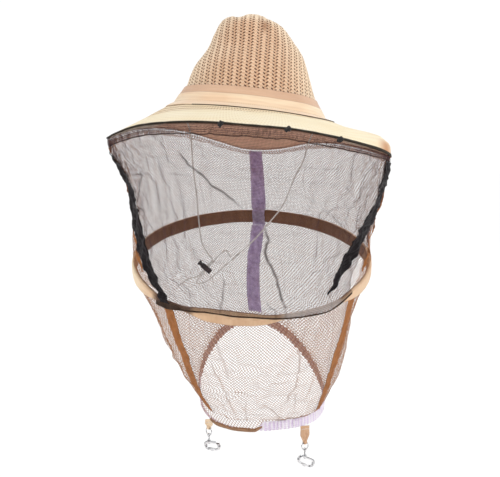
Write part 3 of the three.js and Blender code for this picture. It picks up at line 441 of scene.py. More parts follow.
def slab(name, pts, normals, pattern, material, inner, outer, **attributes):
    """A closed thin band from inner to outer along the normals, thinned at its rims."""
    rows, columns = pts.shape[:2]
    count = rows * columns
    half = np.full((rows, columns), abs(outer - inner) * 0.5)
    border = np.ones((rows, columns), bool)
    border[1:-1, 1:-1] = False
    half[border] *= 0.35
    centre = pts + normals * ((inner + outer) / 2)
    verts = np.concatenate([(centre + side * normals * half[..., None]).reshape(-1, 3)
                            for side in (1, -1)])
    rim = np.concatenate([
        np.arange(columns), columns * np.arange(1, rows) + columns - 1,
        (rows - 1) * columns + np.arange(columns - 2, -1, -1),
        columns * np.arange(rows - 2, 0, -1)])
    following = np.roll(rim, -1)
    faces = np.concatenate([
        grid_faces(rows, columns), grid_faces(rows, columns, base=count, flip=True),
        np.stack([rim, rim + count, following + count, following], -1)])
    values = {"pat": np.concatenate([xyz(*pattern).reshape(-1, 3)] * 2),
              "side": np.repeat([0.0, 1.0], count)}
    for key, value in attributes.items():
        value = np.broadcast_to(value, (rows, columns)).reshape(-1)
        values[key] = np.concatenate([value] * 2)
    part = put_mesh(name, world(verts), faces, material, values)
    part["rest_v"] = 0
    return part


def path_points(points, count):
    """Centripetal Catmull-Rom through the points, evenly spaced, with its arc length."""
    pts = [np.array(p, float) for p in points]
    pts = [2 * pts[0] - pts[1]] + pts + [2 * pts[-1] - pts[-2]]
    out = []
    for i in range(1, len(pts) - 2):
        before, start, end, after = pts[i - 1:i + 3]
        knot0, knot1, knot2 = [max(np.linalg.norm(b - a) ** 0.5, 1e-4) for a, b in
                               ((before, start), (start, end), (end, after))]
        leave = ((start - before) / knot0 - (end - before) / (knot0 + knot1)
                 + (end - start) / knot1) * knot1
        arrive = ((end - start) / knot1 - (after - start) / (knot1 + knot2)
                  + (after - end) / knot2) * knot1
        t = np.linspace(0, 1, 40, endpoint=(i == len(pts) - 3))[:, None]
        out.append((2 * t ** 3 - 3 * t ** 2 + 1) * start + (t ** 3 - 2 * t ** 2 + t) * leave
                   + (-2 * t ** 3 + 3 * t ** 2) * end + (t ** 3 - t ** 2) * arrive)
    dense = np.concatenate(out)
    run = lengths(dense)
    even = np.linspace(0, run[-1], count)
    return np.stack([np.interp(even, run, dense[:, k]) for k in range(3)], -1), even


def tube(name, centres, run, radius, material, sides, strands, lay):
    """Twisted cord of plies; run is arc length and lay the length of one twist."""
    tangent = unit(np.gradient(centres, axis=0))
    reference = np.array([0.3, 0.9, 0.1])
    across = unit(reference - tangent * dot(tangent, reference)[..., None])
    other = np.cross(tangent, across)
    phi = np.linspace(0, TAU, sides, endpoint=False)
    twist = TAU * run / lay
    relief = 0.14
    ply = np.abs(np.cos((strands * phi[None, :] - twist[:, None]) / 2))
    radii = np.minimum(radius * (1 - relief + relief * ply * 2), radius * 1.12)
    verts = (centres[:, None, :] + across[:, None, :] * (radii * np.cos(phi))[..., None]
             + other[:, None, :] * (radii * np.sin(phi))[..., None]).reshape(-1, 3)
    count = len(centres)
    faces = grid_faces(count, sides, wrap=True).tolist()
    faces += [list(range(sides - 1, -1, -1)), list(range((count - 1) * sides, count * sides))]
    pattern = xyz(run[:, None], phi * radius, 0).reshape(-1, 3)
    return put_mesh(name, world(verts), faces, material, {"pat": pattern})


def arc(pts):
    """Pattern coordinates: mm along each row from its middle, mean mm down the columns."""
    across = np.linalg.norm(np.diff(pts, axis=1), axis=-1)
    down = np.linalg.norm(np.diff(pts, axis=0), axis=-1)
    rows, columns = pts.shape[:2]
    x = np.concatenate([np.zeros((rows, 1)), np.cumsum(across, 1)], 1)
    x = x - x[:, columns // 2:columns // 2 + 1]
    y = np.concatenate([np.zeros((1, columns)), np.cumsum(down, 0)], 0)
    return x, np.repeat(y.mean(1)[:, None], columns, 1)


def register(part, ride=None, replaces=None):
    if replaces:
        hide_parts(replaces)
    if ride:
        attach(part, ride)


def follow(part, weights):
    """Bakes a part's placement into its mesh; the weights, one for each of its points, are not used.
    """
    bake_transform(part)
    weights = np.asarray(weights, np.float32).ravel()


def cad_place(node):
    """Centre and half size of a CAD node in millimetres."""
    low, high = (np.array(corner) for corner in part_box(node))
    return (low + high) / 2 / MM - SHIFT, (high - low) / 2 / MM


# --------------------------------------------------------- material helpers
class Value:
    """A node's output. Arithmetic on it adds math nodes, operands in the order written."""

    def __init__(self, socket):
        self.socket, self.tree = socket, socket.id_data

    def __add__(self, other): return compute("ADD", self, other)
    def __radd__(self, other): return compute("ADD", other, self)
    def __sub__(self, other): return compute("SUBTRACT", self, other)
    def __rsub__(self, other): return compute("SUBTRACT", other, self)
    def __mul__(self, other): return compute("MULTIPLY", self, other)
    def __truediv__(self, other): return compute("DIVIDE", self, other)
    def __pow__(self, other): return compute("POWER", self, other)
    def __abs__(self): return compute("ABSOLUTE", self)


def plug(socket, value):
    if isinstance(value, Value):
        value.tree.links.new(value.socket, socket)
    else:
        socket.default_value = value


def add_node(tree, kind, inputs=None, **settings):
    node = tree.nodes.new(kind)
    for key, setting in settings.items():
        setattr(node, key, setting)
    for key, value in (inputs or {}).items():
        plug(node.inputs[key], value)
    return node


def compute(operation, *operands):
    tree = next(item.tree for item in operands if isinstance(item, Value))
    inputs = dict(enumerate(operands))
    return Value(add_node(tree, "ShaderNodeMath", inputs, operation=operation).outputs[0])


def fract(value): return compute("FRACT", value)
def larger(a, b): return compute("MAXIMUM", a, b)
def smaller(a, b): return compute("MINIMUM", a, b)
def wave(value, period): return compute("SINE", value * (TAU / period))


def map_range(kind, *values):
    inputs = dict(enumerate(values))
    node = add_node(values[0].tree, "ShaderNodeMapRange", inputs, interpolation_type=kind)
    return Value(node.outputs[0])


def ramp(value, start, end, low=0.0, high=1.0):
    return map_range("LINEAR", value, start, end, low, high)


def smooth(value, start, end, low=0.0, high=1.0):
    return map_range("SMOOTHSTEP", value, start, end, low, high)


def srgb(*channels):
    """Linear colour from sRGB bytes."""
    shares = [c / 255 for c in channels]
    return tuple(c / 12.92 if c <= 0.04045 else ((c + 0.055) / 1.055) ** 2.4
                 for c in shares) + (1.0,)


def blend(base, colour, amount):
    """Base turning to colour; three-number colours are sRGB bytes, four are linear."""
    base, colour = (srgb(*c) if isinstance(c, tuple) and len(c) == 3 else c
                    for c in (base, colour))
    inputs = {0: amount, 6: base, 7: colour}
    return Value(add_node(amount.tree, "ShaderNodeMix", inputs, data_type="RGBA").outputs[2])


def separate(vector):
    node = add_node(vector.tree, "ShaderNodeSeparateXYZ", {0: vector})
    return [Value(node.outputs[i]) for i in range(3)]


def noise(position, scale, detail, roughness):
    inputs = {"Vector": position, "Scale": scale, "Detail": detail, "Roughness": roughness}
    return Value(add_node(position.tree, "ShaderNodeTexNoise", inputs).outputs[0])


def flat_noise(x, y, detail=2.0, roughness=0.5):
    node = add_node(x.tree, "ShaderNodeCombineXYZ", {0: x, 1: y, 2: 0.0})
    return noise(Value(node.outputs[0]), 1.0, detail, roughness)


def from_line(value, period, at=0.0):
    """Distance in mm to the nearest line of that period."""
    share = fract((value - at) / period)
    return smaller(share, 1.0 - share) * period


def thread(value, period, width, soft):
    half = width * 0.5
    return smooth(from_line(value, period), half + soft, larger(half - soft, 0.0))


def bump(height, strength, distance):
    inputs = {"Height": height, "Strength": strength, "Distance": distance}
    return Value(add_node(height.tree, "ShaderNodeBump", inputs).outputs[0])


def principled(colour, roughness, specular, normal=None, metallic=0.0, sheen=0.0,
               sheen_roughness=0.5, sheen_tint=None):
    inputs = {"Base Color": colour, "Roughness": roughness, "Metallic": metallic,
              "Sheen Weight": sheen, "Sheen Roughness": sheen_roughness,
              "Specular IOR Level": specular}
    if normal is not None:
        inputs["Normal"] = normal
    if sheen_tint is not None:
        inputs["Sheen Tint"] = sheen_tint
    return Value(add_node(colour.tree, "ShaderNodeBsdfPrincipled", inputs).outputs[0])


def translucent(colour, normal=None):
    inputs = {"Color": colour}
    if normal is not None:
        inputs["Normal"] = normal
    return Value(add_node(colour.tree, "ShaderNodeBsdfTranslucent", inputs).outputs[0])


def mix_shader(share, a, b):
    return Value(add_node(a.tree, "ShaderNodeMixShader", {0: share, 1: a, 2: b}).outputs[0])


def cloth(colour, normal, through, **look):
    """Principled cloth that lets the given share of light through."""
    return mix_shader(through, principled(colour, normal=normal, **look),
                      translucent(colour, normal))


class Graph:
    """The node tree of a new material, or of a given world."""

    def __init__(self, name=None, world_block=None):
        self.owner = world_block or bpy.data.materials.new(name)
        self.owner.use_nodes = True
        self.tree = self.owner.node_tree
        self.tree.nodes.clear()
        kind = "ShaderNodeOutputWorld" if world_block else "ShaderNodeOutputMaterial"
        self.output = self.tree.nodes.new(kind)

    def source(self, kind, output, inputs=None, **settings):
        return Value(add_node(self.tree, kind, inputs, **settings).outputs[output])

    def pattern(self):
        return separate(self.source("ShaderNodeAttribute", "Vector", attribute_name="pat"))

    def factor(self, name):
        return self.source("ShaderNodeAttribute", "Fac", attribute_name=name)

    def facing(self):
        """1 looking straight at the surface, 0 edge on."""
        node = self.tree.nodes.new("ShaderNodeNewGeometry")
        inputs = {i: Value(node.outputs[key]) for i, key in enumerate(("True Normal", "Incoming"))}
        return abs(self.source("ShaderNodeVectorMath", "Value", inputs, operation="DOT_PRODUCT"))

    def coordinates(self, kind):
        return self.source("ShaderNodeTexCoord", kind)

    def camera_ray(self):
        return self.source("ShaderNodeLightPath", "Is Camera Ray")

    def finish(self, shader):
        plug(self.output.inputs["Surface"], shader)
        return self.owner


# ---------------------------------------------------------------- materials
def knit_material():
    """Openwork straw-yarn rib: pairs of eyelet columns with slanted stitches between; the eyelets are
    dots of painted shade.
    """
    graph = Graph("knit_straw")
    x, y, shade = graph.pattern()
    x = x + (flat_noise(x * 0.05, y * 0.05) - 0.5) * 0.3
    column = fract(x / KNIT_REPEAT) * KNIT_REPEAT
    face = graph.facing()

    def eyelet(centre, slant, phase):
        off_x = column - centre
        row = (y + off_x * slant) + phase
        off_y = (fract(row / KNIT_ROW) - 0.5) * KNIT_ROW
        radius = compute("SQRT", (off_x / EYELET_X) ** 2.0 + (off_y / EYELET_Y) ** 2.0)
        return smooth(radius, 1.2, 0.7)
    # the eyelets dent the bump and are coloured dark: painted shade of the crown's inside seen
    # through the holes
    eyes = larger(*(eyelet(*place) for place in EYELETS))
    stitch = wave(y + abs(column - KNIT_REPEAT / 2) * 0.75, KNIT_ROW)
    rib = compute("COSINE", (column - KNIT_REPEAT / 2) * (TAU / KNIT_REPEAT))
    fine = flat_noise(x * 1.6, y * 3.4, detail=3, roughness=0.6)
    big = flat_noise(x * 0.03, y * 0.03)
    height = (stitch * 0.3 + rib * -0.12) + (fine * 0.25 + eyes * -1.2)
    normal = bump(height, strength=0.85, distance=0.0012)
    base = blend((212, 168, 134), (232, 190, 157), ramp(big, 0.3, 0.7))
    base = blend(base, (248, 220, 190), ramp(stitch, -1, 1, high=0.65))
    base = blend(base, (196, 146, 112), ramp(rib, -0.2, 1, high=0.45))
    base = blend(base, (205, 160, 124), ramp(fine, 0.35, 0.7, high=0.2))
    # the painted eyelet shade fades as the crown turns edge on
    keep = smooth(face, 0.18, 0.72, low=0.3)
    dark = (eyes * keep) * 0.97
    # painted sheen: paler where the crown turns edge on
    base = blend(base, (255, 238, 210), smooth(face, 0.8, 0.15, high=0.75))
    base = blend(base, (92, 46, 26), dark)
    base = blend(base, (138, 88, 56), shade * 0.8)
    return graph.finish(cloth(base, normal, through=0.12, roughness=0.86, specular=0.15,
                              sheen=0.25, sheen_tint=srgb(255, 235, 210)))


def ribbon_material():
    """Folded hat ribbon: fine cross ribs, a lengthwise fold with painted shade above and along it,
    soft horizontal wrinkles.
    """
    graph = Graph("band_ribbon")
    x, y, _ = graph.pattern()
    weft, warp = wave(y, 0.75), wave(x, 0.9)
    wrinkle = flat_noise(x * 0.02, y * 0.35, detail=3, roughness=0.55)
    fold = smooth(y, 11.0, 12.6)
    tone = flat_noise(x * 0.012, y * 0.05)
    low = blend((246, 212, 176), (253, 232, 200), ramp(tone, 0.35, 0.65))
    high = blend((212, 172, 142), (226, 187, 156), ramp(tone, 0.35, 0.65))
    # painted shade: the recessed upper half, above the fold, takes the darker copy
    base = blend(low, high, fold)
    base = blend(base, (205, 163, 128), ramp(wrinkle, 0.35, 0.75, high=0.35))
    # painted shade along the fold line
    fold_line = smooth(abs(y - 11.8), 0.9, 0.2)
    base = blend(base, (170, 126, 96), fold_line * 0.45)
    hem = smooth(from_line(y, 20.4, at=0.6), 0.7, 0.25)
    stitches = hem * smooth(from_line(x, 2.4), 0.9, 0.5)
    base = blend(base, (176, 134, 104), stitches * 0.35)
    normal = bump((weft * 0.12 + warp * 0.06) + wrinkle * 1.2, strength=0.55, distance=0.001)
    return graph.finish(cloth(base, normal, through=0.06, roughness=0.55, specular=0.35,
                              sheen=0.35, sheen_roughness=0.35))


def brim_material(name, top):
    """Plain weave; the top side has rows of eyelets where it leaves the crown."""
    graph = Graph(name)
    x, y, side_x = graph.pattern()
    weave = wave(x, 1.5) * wave(y, 1.5)
    fine = flat_noise(x * 0.9, y * 2.6, detail=3, roughness=0.6)
    big = flat_noise(x * 0.015, y * 0.03)
    if top:
        base = blend((250, 236, 202), (255, 246, 220), ramp(big, 0.3, 0.7))
        base = blend(base, (232, 209, 164), ramp(weave, -0.2, 1.0, high=0.3))
        base = blend(base, (226, 198, 150), ramp(fine, 0.5, 0.8, high=0.35))
        pitch = 7.4  # between eyelet rows
        row = compute("FLOOR", y / pitch)
        to_column = from_line(x + row * 2.0, 4.2)
        to_row = from_line(y, pitch)
        # eyelet holes are coloured dark: painted shade seen through them
        holes = smooth(to_column, 0.5, 1.4) * smooth(to_row, 1.0, 2.6)
        dots = smooth(from_line(x + row * 1.7, 3.4), 0.4, 1.3) * smooth(to_row, 1.0, 2.8)
        # the dots fade towards the right: painted light washing out the brightly lit side
        base = blend(base, (206, 176, 128), dots * ramp(side_x, -1.0, 0.9, 0.5, 0.18))
        # the eyelets reach further out on the left than on the right
        reach = ramp(side_x, -0.9, 0.7, 42.0, 18.0)
        zone = smooth((y + (big - 0.5) * 14.0) - reach, 2.0, -9.0)
        # the holes fade the same way towards the right: painted light
        side = ramp(side_x, -0.2, 1.0, 1.0, 0.4)
        base = blend(base, (122, 72, 40), (holes * zone) * side)
        base = blend(base, (232, 196, 150), zone * 0.3)
        base = blend(base, (228, 190, 140), graph.factor("rim") * 0.5)
    else:
        base = blend((224, 176, 148), (238, 192, 162), ramp(big, 0.3, 0.7))
        base = blend(base, (196, 148, 120), ramp(weave, -0.2, 1.0, high=0.35))
        base = blend(base, (188, 138, 110), ramp(fine, 0.45, 0.8, high=0.35))
        base = blend(base, (250, 238, 216), graph.factor("lit"))
    # painted shade: orange-brown where a curled-up brim would show its shaded underside
    base = blend(base, (190, 118, 60), graph.factor("curl") * 0.95)
    normal = bump(weave * 0.5 + fine * 0.5, strength=0.5, distance=0.0006)
    return graph.finish(cloth(base, normal, through=0.08, roughness=0.85, specular=0.15,
                              sheen=0.15))


def net_material(name, black):
    """Mesh fabric with open holes, square if black and diagonal if khaki.

    Threads widen as the sheet turns edge on; creases and doubled cloth read darker."""
    graph = Graph(name)
    x, y, _ = graph.pattern()
    crease, dense = graph.factor("crease"), graph.factor("dense")
    face = larger(graph.facing(), 0.16)
    warp = flat_noise(x * 0.16, y * 0.008, detail=3, roughness=0.6)
    weft = flat_noise(x * 0.008, y * 0.16, detail=3, roughness=0.6)
    streak = (warp - 0.5) * 0.7 + (weft - 0.5) * 0.7
    if black:
        pitch = 1.45
        width = (0.19 + streak * 0.12) / face ** 0.75
        width = width + dense * 0.42
        cover = larger(thread(x, pitch, width, soft=0.10), thread(y, pitch, width, soft=0.10))
        knots = (smooth(from_line(x, pitch), 0.32, 0.1)
                 * smooth(from_line(y, pitch), 0.32, 0.1))
        cover = larger(cover, knots * 0.9)
        base = blend((62, 44, 46), (90, 70, 72), ramp(warp, 0.3, 0.7))
        base = blend(base, (86, 60, 46), smaller(dense * 0.6, 1.0))
    else:
        pitch = 2.75
        rising, falling = (x + y) * 0.7071, (x - y) * 0.7071
        width = (0.41 + streak * 0.22) / face ** 0.42
        width = width + dense * 0.6
        cover = larger(thread(rising, pitch, width * 0.9, soft=0.17),
                       thread(falling, pitch, width * 1.15, soft=0.17))
        base = blend((142, 94, 60), (170, 122, 86), ramp(weft, 0.3, 0.7))
        base = blend(base, (174, 112, 70), dense * 0.5)
    cover = larger(cover, crease * 0.92)
    base = blend(base, (44, 30, 24) if black else (128, 82, 54), crease * 0.95)
    cover = smaller(cover, 1.0)
    normal = bump(cover, strength=0.4, distance=0.0003)
    threads = mix_shader(0.2, principled(base, roughness=0.8, specular=0.06, normal=normal),
                         translucent(base))
    return graph.finish(mix_shader(cover, graph.source("ShaderNodeBsdfTransparent", 0), threads))


def tape_material(name, dark, middle, light, crumple, roughness=0.7, sheen=0.2, through=0.12,
                  specular=0.3, ends=None):
    """Woven tape: twill ribs, stitch rows near both edges, a crumple bump, with painted highlights on
    the ribs and crumples.

    With ends given, the curl attribute turns it to that colour."""
    graph = Graph(name)
    x, y, edge = graph.pattern()
    rib = wave(x + y, 1.6)
    cross = wave(x - y, 1.6 * 0.6)
    mottle = flat_noise(x * 0.16 + y * 0.05, y * 0.10 - x * 0.03, detail=4, roughness=0.62)
    fine = flat_noise(x * 1.2, y * 1.2)
    # painted highlight: the colour lightens with the crumple noise and along the twill ribs
    base = blend(dark, middle, ramp(mottle, 0.34, 0.66))
    base = blend(base, light, ramp(rib, -0.4, 1.0, high=0.35))
    base = blend(base, dark, ramp(fine, 0.45, 0.8, high=0.35))
    stitches = smooth(abs(edge - 0.78), 0.09, 0.03) * smooth(from_line(y, 2.6), 1.1, 0.6)
    base = blend(base, light, stitches * 0.5)
    if ends:
        base = blend(base, ends, graph.factor("curl") * 0.9)
        # painted light: the rear of the binding turns pale over its shaded inside
        base = blend(base, (196, 152, 126), graph.factor("soft") * 0.9)
    height = (rib * 0.16 + cross * 0.08) + (mottle * (3.0 * crumple) + stitches * 0.3)
    normal = bump(height, strength=0.7, distance=0.001)
    return graph.finish(cloth(base, normal, through=through, roughness=roughness,
                              specular=specular, sheen=sheen, sheen_roughness=0.4))


def casing_material():
    """Folded cotton band: peach outside, painted brown inside as shade, stitched near both edges."""
    graph = Graph("casing_cloth")
    x, y, edge = graph.pattern()
    side = graph.factor("side")
    weave = wave(x, 1.1) * wave(y, 1.1)
    mottle = flat_noise(x * 0.11, y * 0.05, detail=3, roughness=0.6)
    fine = flat_noise(x * 1.1, y * 1.1)
    outer = blend((216, 174, 138), (234, 198, 162), ramp(mottle, 0.3, 0.7))
    outer = blend(outer, (214, 168, 130), ramp(fine, 0.5, 0.8, high=0.3))
    # painted shade: the inside is a brown, shaded copy of the cloth
    inner = blend((112, 76, 50), (136, 97, 68), ramp(mottle, 0.3, 0.7))
    inner = blend(inner, (90, 58, 38), ramp(fine, 0.5, 0.8, high=0.3))
    outer = blend(outer, (255, 238, 206), graph.factor("pale") * 0.8)
    # painted shade under the front net's rolled edge, at the left front
    outer = blend(outer, (112, 84, 66), graph.factor("dusk") * 0.9)
    outer = blend(outer, (240, 230, 224), graph.factor("faint") * 0.9)
    base = blend(outer, inner, side)
    stitches = smooth(abs(abs(edge) - 0.8), 0.07, 0.02) * smooth(from_line(x, 2.8), 1.2, 0.7)
    base = blend(base, (150, 104, 74), stitches * 0.45)
    height = (weave * 0.15 + mottle * 1.6) + stitches * -0.5
    normal = bump(height, strength=0.6, distance=0.001)
    return graph.finish(cloth(base, normal, through=0.1, roughness=0.72, specular=0.2,
                              sheen=0.2))


def elastic_material():
    """Shirred cloth over elastic threads: lavender white in front, brown behind."""
    graph = Graph("gathered_elastic")
    x, y, behind = graph.pattern()
    gather = graph.factor("gather")
    soft = flat_noise(x * 0.5, y * 0.12, detail=3, roughness=0.6)
    rows = smooth(from_line(y, 2.6, at=0.4), 0.5, 0.15)
    fine = wave(x, 0.9) * wave(y, 0.9)
    base = blend((236, 220, 244), (255, 252, 255), ramp(gather, -1.0, 1.0))
    base = blend(base, (240, 226, 246), ramp(soft, 0.45, 0.8, high=0.5))
    base = blend(base, (220, 202, 230), rows * 0.3)
    brown = blend((162, 118, 102), (208, 170, 154), ramp(gather, -1.0, 1.0))
    base = blend(base, brown, behind * 0.85)
    height = (gather * 0.6 + soft * 1.2) + (fine * 0.1 + rows * -0.5)
    normal = bump(height, strength=0.6, distance=0.001)
    return graph.finish(cloth(base, normal, through=0.18, roughness=0.75, specular=0.2,
                              sheen=0.3))


def cord_material(name, dark, light):
    """Braided cord: two crossing sets of strands."""
    graph = Graph(name)
    x, y, _ = graph.pattern()
    braid = larger(compute("SINE", x * (TAU / 1.3) + y * 2.4),
                   compute("SINE", x * (TAU / 1.3) - y * 2.4))
    fine = flat_noise(x * 2.0, y * 2.0)
    base = blend(dark, light, ramp(braid, -0.4, 1.0))
    base = blend(base, dark, ramp(fine, 0.4, 0.8, high=0.3))
    normal = bump(braid + fine * 0.4, strength=0.6, distance=0.0003)
    return graph.finish(principled(base, roughness=0.65, specular=0.3, normal=normal, sheen=0.2))


def metal_material(name, colour, roughness):
    """Metal with soft waviness, fine brushed scratches, darker dull patches and painted reflection
    bands.
    """
    graph = Graph(name)
    position = graph.coordinates("Object")
    dull = noise(position, 420.0, detail=3, roughness=0.6)
    stretched = graph.source("ShaderNodeMapping", 0,
                             {"Vector": position, "Scale": (900, 900, 6000)})
    scratches = noise(stretched, 1.0, detail=2, roughness=0.5)
    duller = tuple(c * 0.62 for c in colour[:3]) + (1,)
    base = blend(colour, duller, ramp(dull, 0.35, 0.75, high=0.45))
    # painted reflection: dark bands in the colour, following the reflection direction, as from a
    # studio's unlit parts
    height = separate(graph.coordinates("Reflection"))[2] + (dull - 0.5) * 0.35
    painted_reflection_bands = larger(smooth(height, -0.42, -0.12) * smooth(height, 0.22, 0.05),
                 smooth(height, 0.62, 0.72) * smooth(height, 0.92, 0.8))
    base = blend(base, (0.05, 0.052, 0.058, 1), painted_reflection_bands * 0.86)
    rough = ramp(dull, 0.3, 0.8, roughness, roughness + 0.16) + (scratches - 0.5) * 0.06
    normal = bump(dull * 0.5 + scratches * 0.25, strength=0.25, distance=0.0002)
    return graph.finish(principled(base, rough, specular=0.5, normal=normal, metallic=1.0))


def plastic_material():
    graph = Graph("lock_plastic")
    position = graph.coordinates("Object")
    grain = noise(position, 2600.0, detail=2, roughness=0.5)
    wear = noise(position, 300.0, detail=3, roughness=0.6)
    base = blend((20, 20, 22), (38, 37, 38), ramp(wear, 0.4, 0.8))
    normal = bump(grain, strength=0.2, distance=0.0001)
    return graph.finish(principled(base, ramp(wear, 0.3, 0.8, 0.32, 0.55), specular=0.5,
                                   normal=normal))


KNIT, RIBBON = knit_material(), ribbon_material()
BRIM_TOP = brim_material("brim_weave", top=True)
BRIM_LOW = brim_material("brim_lining", top=False)
NET_BLACK = net_material("mesh_black", black=True)
NET_KHAKI = net_material("mesh_khaki", black=False)
TAPE_BLACK = tape_material("tape_black", (10, 8, 9), (26, 22, 24), (74, 64, 68), crumple=1.6,
                           roughness=0.45, sheen=0.0, through=0.02, specular=0.1)
TAPE_BROWN = tape_material("tape_brown", (138, 82, 40), (176, 112, 62), (212, 152, 100),
                           crumple=0.8, sheen=0.05, specular=0.2)
TAPE_HEM = tape_material("tape_hem", (30, 21, 17), (66, 49, 40), (110, 88, 72), crumple=1.0,
                         sheen=0.0, specular=0.1)
TAPE_LAVENDER = tape_material("tape_lavender", (186, 168, 206), (238, 226, 250),
                              (250, 242, 255), crumple=0.9, through=0.62)
STRAP = tape_material("strap_ribbon", (196, 150, 116), (228, 188, 152), (246, 214, 180),
                      crumple=0.5)
STRAP_PALE = tape_material("strap_ribbon_pale", (236, 200, 160), (250, 226, 194),
                           (255, 240, 216), crumple=0.5)
SWEAT = tape_material("sweat_ribbon", (142, 106, 82), (170, 130, 102), (190, 152, 122),
                      crumple=0.4)
BINDING = tape_material("edge_binding", (20, 17, 14), (50, 43, 36), (104, 92, 76), crumple=0.8,
                        roughness=0.6, sheen=0.0, specular=0.1, ends=(176, 104, 52))
HEM_ROLL = tape_material("hem_roll_cloth", (134, 100, 76), (178, 136, 104), (206, 164, 130),
                         crumple=0.8)
CASING, ELASTIC = casing_material(), elastic_material()
CORD = cord_material("cord_braid", (232, 226, 222), (255, 253, 250))
CORD_DARK = cord_material("cord_dark", (58, 44, 32), (104, 84, 62))
THREAD = cord_material("knot_thread", (8, 7, 7), (36, 32, 32))
CHROME = metal_material("clasp_plating", (0.86, 0.87, 0.89, 1), roughness=0.16)
STEEL = metal_material("spring_steel", (0.62, 0.63, 0.65, 1), roughness=0.32)
PLASTIC = plastic_material()


# --------------------------------------------------------- cloth simulation
def settle(surface, seed, columns, slack, hold, limit):
    """Settles a closed net between its pinned rims; returns how far each point moved, in mm.

    hold is the pin weight between the rims and limit the longest move kept."""
    rows, frames = 44, 24
    scale = MM * 4  # the net is simulated at four times its size
    deg, drop = np.meshgrid(np.arange(columns) * 360 / columns, np.linspace(0, 1, rows))
    rest = surface(deg, drop)
    rough = (2.2 * value_noise(deg / 360 * 34, drop * 3.0, seed, 34)
             + 1.0 * value_noise(deg / 360 * 80, drop * 8, seed + 1, 80)) * np.sin(np.pi * drop)
    start = rest + normal_of(surface, deg, drop) * rough[..., None]
    faces = grid_faces(rows, columns, wrap=True)
    net = put_mesh("veil_cloth", start.reshape(-1, 3) * scale, faces)
    pin = net.vertex_groups.new(name="pin")
    for j in range(rows):
        weight = 1.0 if j in (0, rows - 1) else hold
        pin.add(list(range(j * columns, (j + 1) * columns)), weight, "REPLACE")
    cloth_modifier = net.modifiers.new("cloth", "CLOTH")
    settings = cloth_modifier.settings
    settings.quality = 5
    settings.mass = 0.12
    settings.tension_stiffness = settings.compression_stiffness = 18
    settings.shear_stiffness = 4
    settings.bending_stiffness = 0.05
    settings.air_damping = 4
    settings.vertex_group_mass = "pin"
    settings.pin_stiffness = 1.2
    settings.shrink_min = -slack
    settings.effector_weights.gravity = 0.25
    cloth_modifier.collision_settings.use_collision = False
    cache = cloth_modifier.point_cache
    cache.frame_start, cache.frame_end = 1, frames
    scene = bpy.context.scene
    scene.frame_start, scene.frame_end = 1, frames
    for frame in range(1, frames + 1):
        scene.frame_set(frame)
    settled = net.evaluated_get(bpy.context.evaluated_depsgraph_get())
    coords = np.zeros(rows * columns * 3, np.float32)
    settled.data.vertices.foreach_get("co", coords)
    moved = coords.reshape(rows, columns, 3) / scale - rest
    bpy.data.objects.remove(net)
    scene.frame_set(1)
    size = np.linalg.norm(moved, axis=-1, keepdims=True)
    return moved * np.minimum(1, limit / np.maximum(size, 1e-6))


def settled_move(moves, deg, drop):
    """Smooth lookup of a grid of moves, periodic round the veil."""
    rows, columns = moves.shape[:2]
    x = np.mod(deg, 360) / 360 * columns
    y = np.clip(drop, 0, 1) * (rows - 1)
    i = np.floor(x).astype(int)
    j = np.clip(np.floor(y).astype(int), 0, rows - 2)

    def row(j):
        j = np.clip(j, 0, rows - 1)
        return catmull(*(moves[j, (i + k) % columns] for k in (-1, 0, 1, 2)), (x - i)[..., None])
    return catmull(*(row(j + k) for k in (-1, 0, 1, 2)), (y - j)[..., None])


UPPER_MOVES = settle(upper_pt, seed=11, columns=180, slack=0.035, hold=0.25, limit=4.5)
LOWER_MOVES = settle(lower_pt, seed=47, columns=160, slack=0.05, hold=0.2, limit=5.0)
# pressed creases and folds: a run of (degrees, share of the drop), width in mm, strength
FOLDS_UP = [
    ([(-11.5, .81), (-12.5, .92), (-13.5, 1)], 1.0, .9), ([(-29, .9), (-27.5, 1)], .8, .6),
    ([(-37.5, .415), (-39.5, .495), (-40, .595)], .7, .4),
    ([(-25, .395), (-25.5, .45), (-31, .515)], .7, .45),
    ([(5.5, .5), (7, .595), (5.5, .665), (8.5, .745), (11, .85), (13.5, .96), (14.5, 1)], 1.6, 1.0),
    ([(34, .43), (40.5, .52), (48, .63)], .8, .5), ([(36, .24), (44, .31), (52.5, .395)], .7, .3),
    ([(-49.5, .235), (-54.5, .315), (-60, .43)], 1.6, .55),
    ([(-27, .15), (-21.5, .225), (-3.5, .42)], 1.3, 1.0),
    ([(15.5, .315), (27.5, .38), (38.5, .5)], .8, .28), ([(37.5, .94), (37, 1)], .9, .6),
    ([(6, .95), (8, .985), (10, 1)], .9, .6),
    ([(-54, .225), (-19, .225), (4, .205), (27.5, .175), (76, .105)], .55, .28),
    ([(-63, .11), (-78, .25), (-76, .36)], 2.4, .55),
    ([(150, .2), (152, .5), (149, .8)], .9, .4), ([(205, .3), (209, .6), (206, .9)], .9, .4),
    ([(120, .4), (126, .7)], .8, .3), ([(240, .3), (236, .7)], .8, .35)]
FOLDS_LOW = [
    ([(26, .1), (21.5, .275), (23, .345), (23, .525), (22, .625), (19.5, .705), (18, .82)],
     1.2, .7),
    ([(23.5, .7), (26.5, .9)], 1.0, .5), ([(-22.5, .37), (-19.5, .61), (-22, .95)], 1.1, .6),
    ([(-8, .77), (-13, 1)], 1.0, .5), ([(2.5, .79), (9, .885), (19.5, 1)], 1.0, .7),
    ([(-28, 0), (-30.5, .19), (-31.5, .315)], .9, .5), ([(15.5, 0), (15.5, .15)], 1.0, .7),
    ([(40, .06), (40.5, .3), (43, .6)], 1.0, .4), ([(-17, .11), (-15, .39), (-15.5, .545)], 2.0, .35),
    ([(30, .1), (31, .3), (27, .5)], 1.6, .3), ([(120, .2), (124, .5), (118, .85)], 1.2, .4),
    ([(165, .3), (160, .7)], 1.2, .35), ([(215, .2), (209, .6), (214, .95)], 1.2, .4),
    ([(255, .3), (250, .8)], 1.2, .35)]


